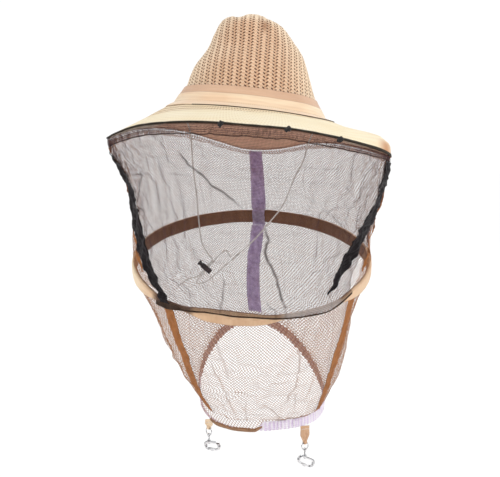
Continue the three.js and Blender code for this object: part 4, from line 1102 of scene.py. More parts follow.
def creases(surface, deg, drop, folds):
    """Ridge height in mm and crease strength at each point, from the fold runs."""
    pts = surface(deg, drop)
    ridge, mark = np.zeros(deg.shape), np.zeros(deg.shape)
    for run, width, strength in folds:
        run = np.array(run, float)
        t = np.linspace(0, len(run) - 1, 60)
        line = surface(*(np.interp(t, range(len(run)), run[:, k]) for k in (0, 1)))
        seed = 90 + int(abs(run[0, 0]) * 7)
        line = line + np.stack([value_noise(t * 3, k, seed) for k in range(3)], -1)
        low, high = line.min(0) - 12, line.max(0) + 12
        box = np.all((pts > low) & (pts < high), axis=-1)
        if not box.any():
            continue
        near = pts[box]
        best = np.full(len(near), 1e9)
        place = np.zeros(len(near))
        for i in range(len(line) - 1):
            start, step = line[i], line[i + 1] - line[i]
            share = np.clip(((near - start) @ step) / max(step @ step, 1e-9), 0, 1)
            away = np.linalg.norm(near - (start + share[:, None] * step), axis=1)
            less = away < best
            best[less] = away[less]
            place[less] = (i + share[less]) / (len(line) - 1)
        taper = ease(place / 0.15) * 0.7 + 0.3
        taper = taper * (ease((1 - place) / 0.12) * 0.6 + 0.4)
        ridge[box] += bell(best, 0, width * 2.4) * strength * 1.6 * taper
        mark[box] = np.maximum(mark[box], bell(best, 0, width * 0.95) * strength * taper)
    return ridge, mark


def up_at(deg, drop):
    """A point of the settled upper net and its outward normal."""
    drop = np.clip(drop, 0, 1)
    pts = upper_pt(deg, drop) + settled_move(UPPER_MOVES, deg, drop)
    return pts, normal_of(upper_pt, deg, drop)


def low_at(deg, drop):
    """The same for the lower net, calmer at its seams and drawn in at both sides."""
    drop = np.clip(drop, 0, 1)
    turn = signed(np.asarray(deg, float))
    off = np.abs(turn)
    near = np.minimum(np.abs(turn - low_left(drop)), np.abs(turn - low_right(drop)))
    calm = ((0.12 + 0.88 * fade(near, 2, 16))
            * (1 - 0.6 * fade(off, 55, 12) * fade(off, 130, -20)))
    side = fade(off, 48, 20) * fade(off, 150, -35)
    pts = lower_pt(deg, drop) + settled_move(LOWER_MOVES, deg, drop) * calm[..., None]
    pull = np.where(turn > 0, 13.5, 11.0)
    pts[..., 0] -= np.sign(turn) * side * lookup(LOW_DRAW, drop) * pull
    return pts, normal_of(lower_pt, deg, drop)


def low_grid(deg, drop):
    """The lower net with its top following the casing's lower edge."""
    pts, normals = low_at(deg, drop)
    rise = (CASING_H / 2 + 0.9 + casing_edges(deg)[0] + 1.4) * (1 - ease(drop / 0.22))
    return pts + HOOP_UP * rise[..., None], normals


# ---------------------------------------------------------------------- hat
def make_crown():
    index = np.linspace(0, CROWN_TOP, 1200)
    height, half, centre = crown_ring(index)
    step = np.hypot(np.gradient(height), np.gradient(half))
    run = np.cumsum(step) - step[0]
    deg, y = np.meshgrid(np.linspace(180, 540, 561), np.linspace(0, run[-1], 150))
    at = np.interp(y, run, index)
    pts = crown_xyz(deg, at)
    turn = signed(deg)
    girth = crown_ring(at)[1] * 1.03
    middle = np.interp(y, run, centre)
    # knit columns stay upright, measured from the front and from the back
    back = np.radians(np.where(turn > 0, turn - 180, turn + 180)) * girth - middle
    x = np.where(np.abs(turn) <= 90, np.radians(turn) * girth + middle, back)
    column = np.mod(x, KNIT_REPEAT)
    eye = 0
    for place, slant, phase in EYELETS:
        row = np.mod((y + (column - place) * slant + phase) / KNIT_ROW, 1) - 0.5
        radius = np.hypot((column - place) / EYELET_X, row * KNIT_ROW / EYELET_Y)
        eye = np.maximum(eye, fade(radius, 1.25, -0.7))
    relief = (-0.12 * np.cos((column - KNIT_REPEAT / 2) * TAU / KNIT_REPEAT) - 0.7 * eye
              + 0.8 * layered_noise(deg / 360 * 14, y / 40, 3) - 0.5)
    relief = relief * fade(at, CROWN_TOP, -0.6)
    front = np.cos(np.radians(turn)) > 0.1
    shade = 0.8 * bell(pts[..., 0], 10, 3.2) * bell(pts[..., 2], 99, 8) * front
    shade = shade + 0.35 * bell(pts[..., 0], -21, 5) * fade(pts[..., 2], 106, 6)
    shade = shade + 0.35 * bell(np.abs(np.abs(turn) - 90) * np.pi / 180 * girth, 0, 1.2)
    pts = to_hat(pts + crown_normal(deg, at) * relief[..., None])
    # the gathered middle closes inside the crown's last ring
    last, centre = pts[-1:], pts[-1].mean(0)
    for size, dip in ((0.7, 0.2), (0.36, 0.6), (0.02, 0.9)):
        pts = np.concatenate([pts, centre + (last - centre) * size - UP * dip])
        x, y = np.concatenate([x, x[-1:]]), np.concatenate([y, y[-1:] + 1.4])
        shade = np.concatenate([shade, np.full_like(shade[-1:], 0.5)])
    register(sheet("crown", pts, (x, y, shade), KNIT), "hat", "crown_knit")


def ribbon_reach(deg):
    """How far the ribbon flares out over the brim, as a share of the brim's width."""
    return 0.135 * (0.5 + 0.5 * np.cos(np.radians(deg))) ** 0.8


def make_band():
    deg, up = np.meshgrid(np.linspace(180, 540, 421), np.linspace(0, 1, 26))
    height = lerp(0.8, 22.0, up) + 0.35 * value_noise(deg / 360 * 16, 2, 5, 16)
    y = up * 21.2
    fold = 0.55 * fade(y, 11.6, -0.8)  # the lower half laps over the upper
    wrinkle = (0.45 * layered_noise(deg / 360 * 22, y / 5, 8)
               + 0.25 * value_noise(deg / 360 * 60, y / 2.2, 9, 60))
    pts, normals = crown_shell(deg, height, 0.5 + fold + 0.35 + wrinkle * 0.6)
    foot_deg, foot = np.meshgrid(deg[0], np.linspace(1, 0, 9)[:-1])
    reach = ribbon_reach(foot_deg)
    foot_pts, foot_normals = brim_at(foot_deg, 0.012 + reach * foot)
    lift = 1.45 + 0.25 * value_noise(foot_deg / 360 * 60, foot * 2, 12, 60)
    soft = ease(foot * 2.2)[..., None]
    foot_pts = lerp(pts[:1], foot_pts + foot_normals * lift[..., None], soft)
    foot_normals = unit(lerp(normals[:1], foot_normals, soft))
    y = np.concatenate([-foot * reach * BRIM_WIDTH, y])
    up = np.concatenate([0 * foot, up])
    deg = np.concatenate([foot_deg, deg])
    ribbon = slab("hat_ribbon", np.concatenate([foot_pts, pts]),
                  np.concatenate([foot_normals, normals]), (deg * 1.62, y, up * 2 - 1),
                  RIBBON, -0.35, 0.35)
    register(ribbon, "hat", "hat_band")
    # thin dark cord lying along the ribbon's foot on the brim
    deg = np.linspace(-38, 75, 220)
    pts, normals = brim_at(deg, 0.020 + ribbon_reach(deg))
    pts = pts + normals * 1.5
    cord = tube("ribbon_draw_thread", pts, lengths(pts), 0.5, CORD_DARK, sides=6, strands=2,
                lay=2.2)
    register(cord, "hat")


def make_sweatband():
    deg, up = np.meshgrid(np.linspace(180, 540, 241), np.linspace(0, 1, 12))
    turn = np.radians(deg)
    height = lerp(-1.2, 24, up)
    radius = (np.interp(height, CROWN[:, 0], (CROWN[:, 1] + CROWN[:, 2]) / 2) - 2.4 - 1.7
              + 0.35 * layered_noise(deg / 360 * 30, up * 3, 21) * up)
    x = FOOT_CENTRE + radius * np.sin(turn)
    y = -(radius * CROWN_DEPTH_RATIO) * np.cos(turn)
    pts = xyz(x, y, height + seat(x, y) * (1 - ease(height / 70)))
    normals = xyz(np.sin(turn), -np.cos(turn), 0)
    part = slab("sweatband_ribbon", to_hat(pts), to_hat(normals),
                (deg * 1.6, up * 25, np.abs(up * 2 - 1)), SWEAT, -1.3, -0.1)
    register(part, "hat", "sweatband")


def brim_layer(name, shares, off, material, flip):
    """One face of the brim, at a distance off its middle surface."""
    deg, share = np.meshgrid(np.linspace(180, 540, 541), shares)
    pts, normals = brim_at(deg, share)
    radial = share * BRIM_WIDTH
    thin = 1 - 0.55 * fade(share, 0.93, 0.05)
    ripple = (0.35 * layered_noise(deg / 360 * 26, radial / 22, 31) * ease(share / 0.2)
              * fade(share, 1, -0.12))
    turn = signed(deg)
    # painted shade: the right tip and the right rear rim get the orange-brown of a shaded, curled-up
    # underside; the shape itself is not curled
    tip = pts[..., 0] + 1.5 * value_noise(deg / 7, share * 4, 35)
    curl = ((0.10 * fade(tip, 120, 30) + 0.78 * fade(tip, 142, 16) * fade(share, 0.79, 0.14))
            * fade(turn, 86, -20) * fade(turn, 30, 20))
    rear_curl = 0.6 * fade(share, 0.9, 0.08) * fade(turn, 52, 16) * fade(turn, 165, -40)
    cosine = np.cos(np.radians(deg))
    return sheet(name, pts + normals * (off * thin + ripple)[..., None],
                 (deg * 2.6, radial, np.sin(np.radians(deg))), material, flip,
                 rim=fade(share, 0.96, 0.02) * 0.5, curl=np.maximum(curl, rear_curl),
                 lit=fade(cosine, -0.72, 0.22) * fade(share, 0.05, 0.2))


def make_brim():
    shares = np.concatenate([[-0.012], np.linspace(0.004, 0.992, 39)])
    top = brim_layer("brim_top", shares, 0.8, BRIM_TOP, flip=False)
    shares = np.concatenate([[-0.062, -0.03], shares])
    lining = brim_layer("brim_lining", shares, -0.8, BRIM_LOW, flip=True)
    register(top, "hat", "brim")
    register(lining, "hat")


def make_brim_binding():
    """Folded strip round the brim's edge with a rounded nose, slightly puckered."""
    deg = np.linspace(180, 540, 541)
    open_deg = deg[:-1]
    pts, normals = brim_at(open_deg, np.ones_like(open_deg))
    tangent = unit(np.roll(pts, -1, 0) - np.roll(pts, 1, 0))
    outward = turned(unit(np.cross(normals, tangent)), pts)
    count, half = 18, 0.85
    section = []  # outward and upward offsets
    for i in range(count):
        share = i / (count - 1)
        if share < 0.36:
            section.append((-2.4 + share / 0.36 * 2.6, half))
        elif share > 0.64:
            section.append((-2.4 + (1 - share) / 0.36 * 2.6, -half))
        else:
            turn = (share - 0.36) / 0.28 * math.pi
            section.append((0.2 + half * math.sin(turn), half * math.cos(turn)))
    section = np.array(section)
    pucker = 1 + 0.16 * value_noise(open_deg / 360 * 150, 3, 33, 150)[:, None]
    verts = (pts[:, None, :] + outward[:, None, :] * section[:, 0][:, None]
             + normals[:, None, :] * (section[:, 1] * pucker)[..., None])
    verts = np.concatenate([verts, verts[:1]])
    turn = signed(deg)
    brown = np.where(turn > 0, fade(turn, 78, 5), fade(turn, -86, -4))
    pattern = (deg[:, None] * 3.1, np.linspace(0, 9, count), np.abs(np.linspace(-1, 1, count)))
    # the soft share paints the rear binding pale: painted light over its shaded inside
    part = sheet("brim_binding", verts, pattern, BINDING, curl=brown[:, None],
                 soft=fade(np.abs(turn), 98, 6)[:, None])
    register(part, "hat", "brim_edge_binding")


def make_anchors():
    """Short ribbons folded over the chin cord's ends."""
    for side in ("left", "right"):
        node = "cord_anchor_" + side
        centre = cad_place(node)[0]
        share, across = np.meshgrid(np.linspace(0, 1, 24), np.linspace(-1, 1, 7))
        cosine, sine = np.cos(share * TAU), np.sin(share * TAU)
        pts = centre + xyz(0.75 * sine * (1 + 0.3 * cosine),
                           across * 5.2 * (1 - 0.25 * ease((1 - cosine) / 2)), 4.2 * cosine)
        pattern = (share * 16, across * 5, np.abs(across))
        register(sheet("cord_loop_" + side, pts, pattern, STRAP), "hat", node)


def make_knots():
    """Tangled thread knots at the front of the brim."""
    rng = np.random.RandomState(7)
    for side in ("left", "centre", "right"):
        node = "net_tack_" + side
        centre, half = cad_place(node)
        centre = centre + np.array([0, -1.6, 0.3])
        half = half * 1.7 * np.array([0.85, 1.0, 0.85])
        pts = [centre + np.array([-3.2, -0.5, -2.0])]
        for _ in range(26):
            way = rng.normal(size=3)
            way = way / np.linalg.norm(way) * (0.45 + 0.5 * rng.rand())
            pts.append(centre + way * half)
        pts.append(centre + np.array([3.6, -0.6, 1.3]) * (1 if side == "left" else -1))
        line, run = path_points(pts, 260)
        part = tube("thread_knot_" + side, line, run, 0.7, THREAD, sides=6, strands=2, lay=2.0)
        register(part, "hat", node)


# --------------------------------------------------------------- upper veil
def creased_upper(deg, drop):
    pts, normals = up_at(deg, drop)
    ridge, mark = creases(upper_pt, deg, drop, FOLDS_UP)
    return pts + normals * ridge[..., None], mark


def make_front_net():
    across, drop = np.meshgrid(np.linspace(0, 1, 420), np.linspace(0, 1, 150))
    deg = lerp(up_left(drop) + 0.25, up_right(drop) - 0.25 - slit(drop), across)
    pts, mark = creased_upper(deg, drop)
    lap_deg, share = np.meshgrid(deg[-1], np.linspace(0, 1, 12)[1:])
    pts = np.concatenate([pts, lap_rows(lap_deg, share)])
    mark = np.concatenate([mark, np.repeat(mark[-1:], len(share), 0)])
    drop = np.concatenate([drop, np.ones_like(share)])
    deg = np.concatenate([deg, lap_deg])
    x, y = arc(pts)
    # the cloth is doubled at the top, at the brim's two sides and along its side edges
    edge = np.minimum(deg - up_left(drop), (up_right(drop) - slit(drop)) - deg)
    dense = (0.10 * fade(y, 8.0, -1.0) + 0.45 * fade(deg, -64, -14) * fade(drop, 0.16, -0.12)
             + 0.5 * fade(deg, 70, 12) * fade(drop, 0.3, -0.15) + 0.5 * fade(edge, 2.0, -1.2))
    mark = np.maximum(mark, 0.85 * fade(edge, 0.6, -0.4) * (drop > 0.02))
    part = sheet("front_mesh", pts, (x, y, 0), NET_BLACK, crease=np.clip(mark, 0, 1),
                 dense=np.clip(dense, 0, 1))
    register(part, replaces="front_net")
    follow(part, drop)


def make_rear_net():
    across, drop = np.meshgrid(np.linspace(0, 1, 460), np.linspace(0, 1, 130))
    deg = lerp(up_right(drop) + 0.25, up_left(drop) + 360 - 0.25, across)
    pts, mark = creased_upper(deg, drop)
    x, y = arc(pts)
    edge = np.minimum(deg - up_right(drop), (up_left(drop) + 360) - deg)
    dense = 0.5 * fade(y, 7.5, -1.0) + 0.6 * fade(edge, 2.0, -1.2)
    part = sheet("rear_mesh", pts, (x, y, 0), NET_KHAKI, crease=np.clip(mark * 0.8, 0, 1),
                 dense=np.clip(dense, 0, 1))
    register(part, replaces="rear_net")
    follow(part, drop)


def lay_tape(name, node, pts, normals, pattern, drop, offset, material, crumple,
             seed):
    """Crumples a tape's grid and gives it thickness."""
    x, y, _ = pattern
    relief = crumple * (layered_noise(x / 7 + y / 11, y / 9 - x / 30, seed)
                        + 0.6 * value_noise(x / 3.0 + y / 4, y / 4.0, seed + 5))
    relief = np.maximum(relief + crumple * 0.5, -0.2)
    pts = pts + normals * (offset + math.copysign(1, offset) * relief)[..., None]
    part = slab(name, pts, normals, pattern, material, -TAPE_THICKNESS / 2, TAPE_THICKNESS / 2,
                crease=0)
    register(part, replaces=node)
    follow(part, np.concatenate([drop.reshape(-1)] * 2))


def seam_tape(name, node, tier, path, span, width, offset, material, crumple, seed,
              narrowing=0.0, shift=0.0, columns=12):
    """A tape along a path on a net; narrowing is how much width it loses over the drop."""
    across, share = np.meshgrid(np.linspace(-1, 1, columns), np.linspace(0, 1, 150))
    drop = lerp(span[0], span[1], share)
    deg = path(drop)
    drawn = tier["surface"](deg, drop)
    radius = np.hypot(drawn[..., 0] - lerp(*tier["centre_x"], drop), drawn[..., 1])
    x = across * 0.5 * (width - narrowing * drop)
    pts, normals = tier["settled"](deg + (x + shift) * DEG_PER_RAD / radius, drop)
    y = np.repeat(lengths(pts[:, columns // 2])[:, None], columns, 1)
    lay_tape(name, node, pts, normals, (x, y, np.abs(across)), drop, offset, material,
             crumple, seed)


def side_tape(name, node, left, right, span, crumple, seed, lap=0.0):
    """A black tape between two edges in degrees; lap carries it down over the casing."""
    across, share = np.meshgrid(np.linspace(0, 1, 16), np.linspace(0, 1, 180))
    drop = lerp(span[0], span[1], share)
    deg = lerp(left(drop), right(drop), across)
    pts, normals = up_at(deg, drop)
    if lap:
        lap_deg, over = np.meshgrid(deg[-1], np.linspace(0, lap, 15)[1:])
        lap_deg = lap_deg + over * 6.0
        pts = np.concatenate([pts, lap_rows(lap_deg, over)])
        normals = np.concatenate([normals, hoop_out(lap_deg)])
        drop = np.concatenate([drop, np.ones_like(over)])
    pattern = (*arc(pts), np.abs(2 * across[:1] - 1))
    lay_tape(name, node, pts, normals, pattern, drop, 1.4, TAPE_BLACK,
             crumple, seed)


def edge_tape(name, node, start, end, material, gather, seed, line, dense):
    """The gathered tape that joins a net to the brim's edge."""
    along, down = np.meshgrid(np.linspace(0, 1, 420), np.linspace(0, 1, 14))
    pts, normals = up_at(lerp(start, end, along), lerp(0.002, 0.046, down))
    x, y = arc(pts)
    relief = gather * (value_noise(x / 4.2, y / 9, seed)
                       + 0.5 * value_noise(x / 1.9, y / 5, seed + 1))
    pts = pts + normals * (1.2 + relief * (0.35 + 0.65 * down))[..., None]
    pts[..., 2] += (0.5 * gather * value_noise(x / 6.0, 1, seed + 2) * down
                    + 3.0 * (1 - down))
    edge = np.abs(2 * down - 1)
    mark = line * fade(edge, 0.74, 0.14)
    ruck = 0.45 * line * fade(value_noise(x / 1.5 + y / 3, y / 2.5, seed + 4), 0.3, 0.3)
    part = sheet(name, pts, (x, y, edge), material, crease=np.maximum(mark, ruck), dense=dense)
    register(part, "hat", node)


UPPER = {"surface": upper_pt, "settled": up_at, "bodies": ("hat", "hoop"), "centre_x": (0, 0)}
LOWER = {"surface": lower_pt, "settled": low_grid, "bodies": ("hoop", "hem"),
         "centre_x": (HOOP_C[0], HEM_CX)}


def make_upper_tapes():
    edge_tape("front_gathered_tape", "front_net_top_tape", up_left(0.0) + 1,
              up_right(0.0) - 1, NET_BLACK, gather=0.75, seed=51, line=0.92, dense=0.05)
    edge_tape("rear_gathered_tape", "rear_net_top_tape", up_right(0.0) + 1,
              up_left(0.0) + 359, NET_KHAKI, gather=0.6, seed=55, line=0.12, dense=0.0)
    side_tape("front_left_tape", "front_net_left_tape", lambda drop: up_left(drop) + 0.4,
              lambda drop: lookup(LEFT_TAPE_IN, drop), (0.05, 1.0), crumple=1.0, seed=61,
              lap=0.6)
    side_tape("front_right_tape", "front_net_right_tape",
              lambda drop: lookup(RIGHT_TAPE_IN, drop),
              lambda drop: lookup(RIGHT_TAPE_OUT, drop), (0.05, 0.97), crumple=1.1, seed=62)
    seam_tape("rear_left_tape", "rear_net_left_tape", UPPER, up_left,
              (0.05, 0.93), width=8.0, shift=-7.5, offset=1.4, material=TAPE_BROWN,
              crumple=0.7, seed=63)
    seam_tape("rear_right_tape", "rear_net_right_tape", UPPER, up_right,
              (0.05, 0.93), width=8.5, shift=7.8, offset=1.4, material=TAPE_BROWN,
              crumple=0.9, seed=64)
    seam_tape("rear_seam_upper", "rear_seam_tape_upper", UPPER,
              lambda drop: 176 + 0 * drop, (0.01, 0.99), width=18.5, offset=-1.6,
              material=TAPE_LAVENDER, crumple=0.8, seed=65, columns=18)


def make_front_roll():
    """Dark rolled edge under the front net: a wedge at the left, then a thin roll."""
    line = np.linspace(up_left(1.0) + 0.6, up_right(1.0) - 4.5, 420)
    height = (1.8 + 6.0 * fade(line, -30, -7) * (1 - 0.5 * fade(line, -40, -6))
              + 0.35 * value_noise(line / 5, 0, 68))
    share, deg = np.meshgrid(np.linspace(0, 1, 8), line, indexing="ij")
    up = (share - 0.12) * height
    lap = lookup(LAP, deg)
    outward = hoop_out(deg)
    off = 4.9 * ease(lap / 2.5) + 1.0 + 0.4 * value_noise(deg / 3, share * 2, 69)
    pts = hoop_pt(deg, LAP_TOP - lap) + HOOP_UP * up[..., None] + outward * off[..., None]
    # the tall wedge leans with the net above it
    pull = up_at(deg, 1 - np.clip(up, 0, 20) / 150)[0] - hoop_pt(deg, LAP_TOP)
    pts = pts + pull * (share * (height > 4))[..., None] * np.array([1, 1, 0]) * 0.5
    part = slab("front_lower_roll", pts, outward, (*arc(pts), np.abs(2 * share - 1)), TAPE_HEM,
                -0.55, 0.55)
    register(part, "hoop", "front_net_bottom_tape")


# --------------------------------------------------------------------- hoop
def make_casing():
    deg, turn = np.meshgrid(np.linspace(180, 540, 601), np.linspace(0, TAU, 31), indexing="ij")
    low, high = casing_edges(deg)
    cosine, sine = np.cos(turn), np.sin(turn)
    out = 2.95 * signed_power(cosine, 0.35)
    up = (low + high) / 2 + (high - low) / 2 * signed_power(sine, 0.55)
    wrinkle = (0.35 * layered_noise(deg / 360 * 50, turn * 1.2, 81)
               + 0.45 * value_noise(deg / 360 * 120, sine, 82, 120))
    out = out + np.sign(out) * wrinkle * 0.5
    up = up + 0.4 * value_noise(deg / 360 * 40, 2, 83, 40)
    pts = hoop_pt(deg) + hoop_out(deg) * out[..., None] + HOOP_UP * up[..., None]
    around = signed(deg)
    pale = bell(around, -80, 22) + 0.25 * bell(around, 60, 18)
    faint = fade(around, 11, 5) * fade(around, 46, -4)
    part = sheet("casing_band", pts, (deg * 2.55, turn * 5, sine), CASING,
                 # the inside, marked by side, gets painted shade
                 side=fade(cosine, 0.15, -0.3) * (1 - faint), pale=np.clip(pale, 0, 1),
                 # painted shade under the rolled edge at the left front
                 dusk=fade(around, -52, 4) * fade(around, -25, -4), faint=faint)
    register(part, "hoop", "hoop_casing")


def make_seam_bridge():
    """The rear seam tape carried over the inside of the casing."""
    across, share = np.meshgrid(np.linspace(-1, 1, 14), np.linspace(0, 1, 22))
    deg = 176 + across * 8.7 / HOOP_R * DEG_PER_RAD
    up = lerp(12.5, -12.5, share)
    outward = hoop_out(deg)
    off = -3.75 + 0.9 * fade(np.abs(up), 8.3, 2.0) - 0.3 * value_noise(across * 2, share * 5, 87)
    pts = hoop_pt(deg, up) + outward * off[..., None]
    pts[..., 0] += 0.7 * value_noise(share * 3, 1, 88)
    part = slab("rear_seam_bridge", pts, -outward, (across * 7.6, share * 21, np.abs(across)),
                TAPE_LAVENDER, -0.3, 0.3, crease=0)
    register(part, "hoop")


# --------------------------------------------------------------- lower veil
def make_lower_net(name, node, left, right, columns, crease_strength):
    across, drop = np.meshgrid(np.linspace(0, 1, columns), np.linspace(0, 1, 170))
    deg = lerp(left(drop) + 0.25, right(drop) - 0.25, across)
    pts, normals = low_grid(deg, drop)
    ridge, mark = creases(lower_pt, deg, drop, FOLDS_LOW)
    # gathers into the hem and, finer, under the casing
    gathers = (1.1 * value_noise(deg / 360 * 110, drop * 1.5, 91, 110) * fade(drop, 0.72, 0.25)
               + 0.5 * value_noise(deg / 360 * 150, drop * 2, 92, 150) * fade(drop, 0.2, -0.15))
    pts = pts + normals * (ridge + gathers)[..., None]
    # rows that run on over the hem at the front left
    foot_deg, share = np.meshgrid(deg[-1], np.linspace(0, 1, 15)[1:])
    over = hem_drop(foot_deg)
    hem, outward, upward = hem_frame(foot_deg)
    top = lerp(pts[-1:], hem + upward * HEM_ROOM + outward * 1.9,
               ease(share * 4)[..., None] * over[..., None])
    fall = share * over * HEM_FALL + share * (1 - over)
    ripple = (0.5 * value_noise(foot_deg / 360 * 110, share, 93, 110) * over
              * np.sin(np.pi * share))
    foot = top - upward * fall[..., None] + outward * ripple[..., None]
    pts = np.concatenate([pts, foot])
    drop = np.concatenate([drop, 1 + share * 0.001])
    mark = np.concatenate([mark, 0 * share])
    deg = np.concatenate([deg, foot_deg])
    x, y = arc(pts)
    y[-14:] = y[-15:-14] + fall
    mark = np.maximum(mark, 0.85 * fade(drop, 0.982, 0.008) * fade(deg, 8, 8)
                      * fade(deg, 50, -4))
    dense = 0.4 * fade(drop, 0.95, 0.04) * (1 - hem_drop(deg)) + 0.3 * fade(drop, 0.03, -0.03)
    part = sheet(name, pts, (x, y, 0), NET_KHAKI, crease=np.clip(mark * crease_strength, 0, 1),
                 dense=np.clip(dense, 0, 1))
    register(part, replaces=node)
    follow(part, np.clip(drop, 0, 1))


def make_lower():
    make_lower_net("lower_front_mesh", "lower_front_net", low_left, low_right, columns=240,
                   crease_strength=0.85)
    make_lower_net("lower_rear_mesh", "lower_rear_net", low_right,
                   lambda drop: low_left(drop) + 360, columns=460, crease_strength=0.6)
    for side, path, narrowing, seed in (("left", low_left, 3.0, 101),
                                        ("right", low_right, 2.5, 102)):
        seam_tape(f"lower_{side}_seam", f"lower_{side}_tape", LOWER, path,
                  (0.0, 0.99), width=14.0, narrowing=narrowing, offset=1.5,
                  material=TAPE_BROWN, crumple=0.7, seed=seed)
    seam_tape("rear_seam_lower", "rear_seam_tape_lower", LOWER,
              lambda drop: lerp(176, 186, drop), (0.05, 0.985), width=17.5, narrowing=2,
              offset=-1.4, material=TAPE_LAVENDER, crumple=0.8, seed=103, columns=16)


# ---------------------------------------------------------------------- hem
def make_hem():
    deg, turn = np.meshgrid(np.linspace(180, 540, 901), np.linspace(0, TAU, 27), indexing="ij")
    pts, outward, upward = hem_frame(deg)
    sine = np.sin(turn)
    phase = np.radians(deg) * 104 + 2.2 * value_noise(deg / 360 * 40, 0, 111, 40)
    gather = np.sin(phase) + 0.8 * value_noise(deg / 360 * 150, sine * 1.2, 112, 150)
    depth = 0.55 + 0.35 * value_noise(deg / 360 * 24, 4, 113, 24)
    over = hem_drop(deg)
    calm = 1 - 0.7 * over
    out = 0.85 * signed_power(np.cos(turn), 0.4) + depth * gather * calm
    up = (HEM_H / 2 - 0.3 - 4.2 * over) * signed_power(sine, 0.6) - 3.9 * over
    scallop = 0.7 * gather * (np.abs(sine) ** 3) * calm
    pts = pts + outward * out[..., None] + upward * (up + scallop * 0.8)[..., None]
    behind = fade(np.cos(np.radians(deg)), 0.15, -0.4)
    part = sheet("hem_gathers", pts, (deg * 1.4, up, behind), ELASTIC,
                 gather=np.clip(gather, -1, 1))
    register(part, "hem", "hem_elastic")


def make_hem_roll():
    """Rolled brown edge along the hem's front left run."""
    first, last = -53, 1.5
    deg, turn = np.meshgrid(np.linspace(first, last, 150), np.linspace(0, TAU, 17),
                            indexing="ij")
    pts, outward, upward = hem_frame(deg)
    full = fade(deg, first, 3) * fade(deg, last, -6)
    radius = (1.0 + 0.2 * value_noise(deg / 4, turn, 115)) * (0.35 + 0.65 * full)
    up = (-HEM_H / 2 + 0.6 + 0.6 * value_noise(deg / 9, 0, 116)
          + 5 * (1 - fade(deg, last, -9)))
    pts = (pts + outward * (radius * 2.0 * np.cos(turn))[..., None]
           + upward * (up + radius * 2.4 * np.sin(turn))[..., None])
    part = sheet("hem_roll", pts, (turn * 2, deg * 1.4, 0), HEM_ROLL)
    register(part, "hem", "hem_binding")


# ------------------------------------------------------------------- straps
TAB_HALF = 6.5
# side, place on the hem and turn in degrees, tab length, drop below the hem,
# slope of the top edge, seed, material
STRAPS = (("left", -56.0, -42, 10.5, 2.9, 0.27, 121, STRAP_PALE),
          ("right", 41.0, 30, 20.5, 1.0, -0.08, 131, STRAP))


def make_strap(side, hem_deg, turn_deg, length, below, slope, seed, material):
    origin = hem_pt(np.array([hem_deg]))[0] - UP * (HEM_H / 2 + below)
    cosine, sine = math.cos(math.radians(turn_deg)), math.sin(math.radians(turn_deg))
    body = "strap_" + side

    def turn(pts):
        x, y, z = pts[..., 0], pts[..., 1], pts[..., 2]
        return xyz(x * cosine - y * sine, x * sine + y * cosine, z)

    # ribbon folded double: soft edges, drawn in to the ring loop
    down, around = np.meshgrid(np.linspace(0, 1, 60), np.linspace(0, TAU, 41), indexing="ij")
    half = np.interp(down, [0, 0.55, 0.97, 1], [TAB_HALF, TAB_HALF, 2.3, 2.1])
    half = half * (1 - 0.02 * np.sin(down * 9))
    x = half * signed_power(np.cos(around), 0.45)
    z = down * (-length - 0.6) + slope * x * (1 - down)
    y = (0.85 * signed_power(np.sin(around), 0.7) * (1 - 0.15 * down)
         + 0.22 * layered_noise(x / 4 + 3, z / 4, seed))
    tab = sheet("strap_ribbon_" + side, turn(xyz(x, y, z)) + origin,
                (x, z, np.abs(x) / np.maximum(half, 0.1)), material)
    register(tab, body, "strap_tab_" + side)

    # the loop round the ring
    across, around = np.meshgrid(np.linspace(-2.1, 2.1, 9), np.linspace(0, TAU, 33))
    radius = 2.05 + 0.12 * np.cos(across * 1.4)
    pts = xyz(across, radius * np.cos(around), -length + radius * np.sin(around))
    normals = turn(xyz(0, np.cos(around), np.sin(around)))
    loop = slab("strap_loop_" + side, turn(pts) + origin, normals,
                (across, around * 2, np.abs(across) / 2.2), material, -0.4, 0.4)
    register(loop, body)

    # stitch across the fold
    stitches = []
    for i in range(9):
        x = lerp(-TAB_HALF + 1.2, TAB_HALF - 1.2, i / 8)
        stitches.append((x, -1.35 if i % 2 else -0.6, -3.6 + slope * x))
    line, run = path_points(stitches, 90)
    stitch = tube("strap_stitch_" + side, turn(line) + origin, run, 0.22, CORD, sides=6,
                  strands=2, lay=1.2)
    register(stitch, body)


# --------------------------------------------------------------- chin cord
LOCK = np.array([-53.9, -6, -191.8])
LOCK_ACROSS = unit(np.array([0.75, 0, -0.66]))
LOCK_ALONG = unit(np.array([-0.66, 0, -0.75]))
CORD_OFFSET = 1.2  # each cord's distance from the middle of the lock
SPRING_AXIS = np.array([0.750714, 0.0, -0.660628])


def cord_anchor(side):
    return to_hat(np.array([side * 82.6 + 0.5, 4, -6.6 + SEAT_SLOPE_X * side * 82]))


def in_lock(along, side):
    return LOCK + LOCK_ALONG * along + LOCK_ACROSS * side * CORD_OFFSET


LEFT_CORD = [
    cord_anchor(-1), (-73.3, -3, -22), (-69.9, -3, -64.5), (-65.2, -3, -104.7),
    (-62.9, -3, -133.9), (-59, -4, -160), (-51, -5, -174.5), in_lock(-13, -1), in_lock(-7, -1),
    in_lock(7, -1), in_lock(14, -1), (-76, -6, -205), (-90.7, -6, -215.2)]
RIGHT_TURN = (-24.4, -3, -183.6)  # where the right cord nears the lock
RIGHT_CORD = [
    cord_anchor(1), (72.1, -3, -37.4), (67.3, -3, -55.8), (55.1, -3, -80.5),
    (41.6, -3, -112.8), (27.3, -3, -131.4), (4.3, -3, -157.7), RIGHT_TURN, (-38, -9, -194.5),
    (-48, -13, -203), (-57.5, -14, -209), (-66, -11, -208.5), in_lock(14, 1), in_lock(7, 1),
    in_lock(-7, 1), in_lock(-14, 1), (-36, -11, -173), (-29.3, -13, -168.5),
    (-23.1, -14, -177)]


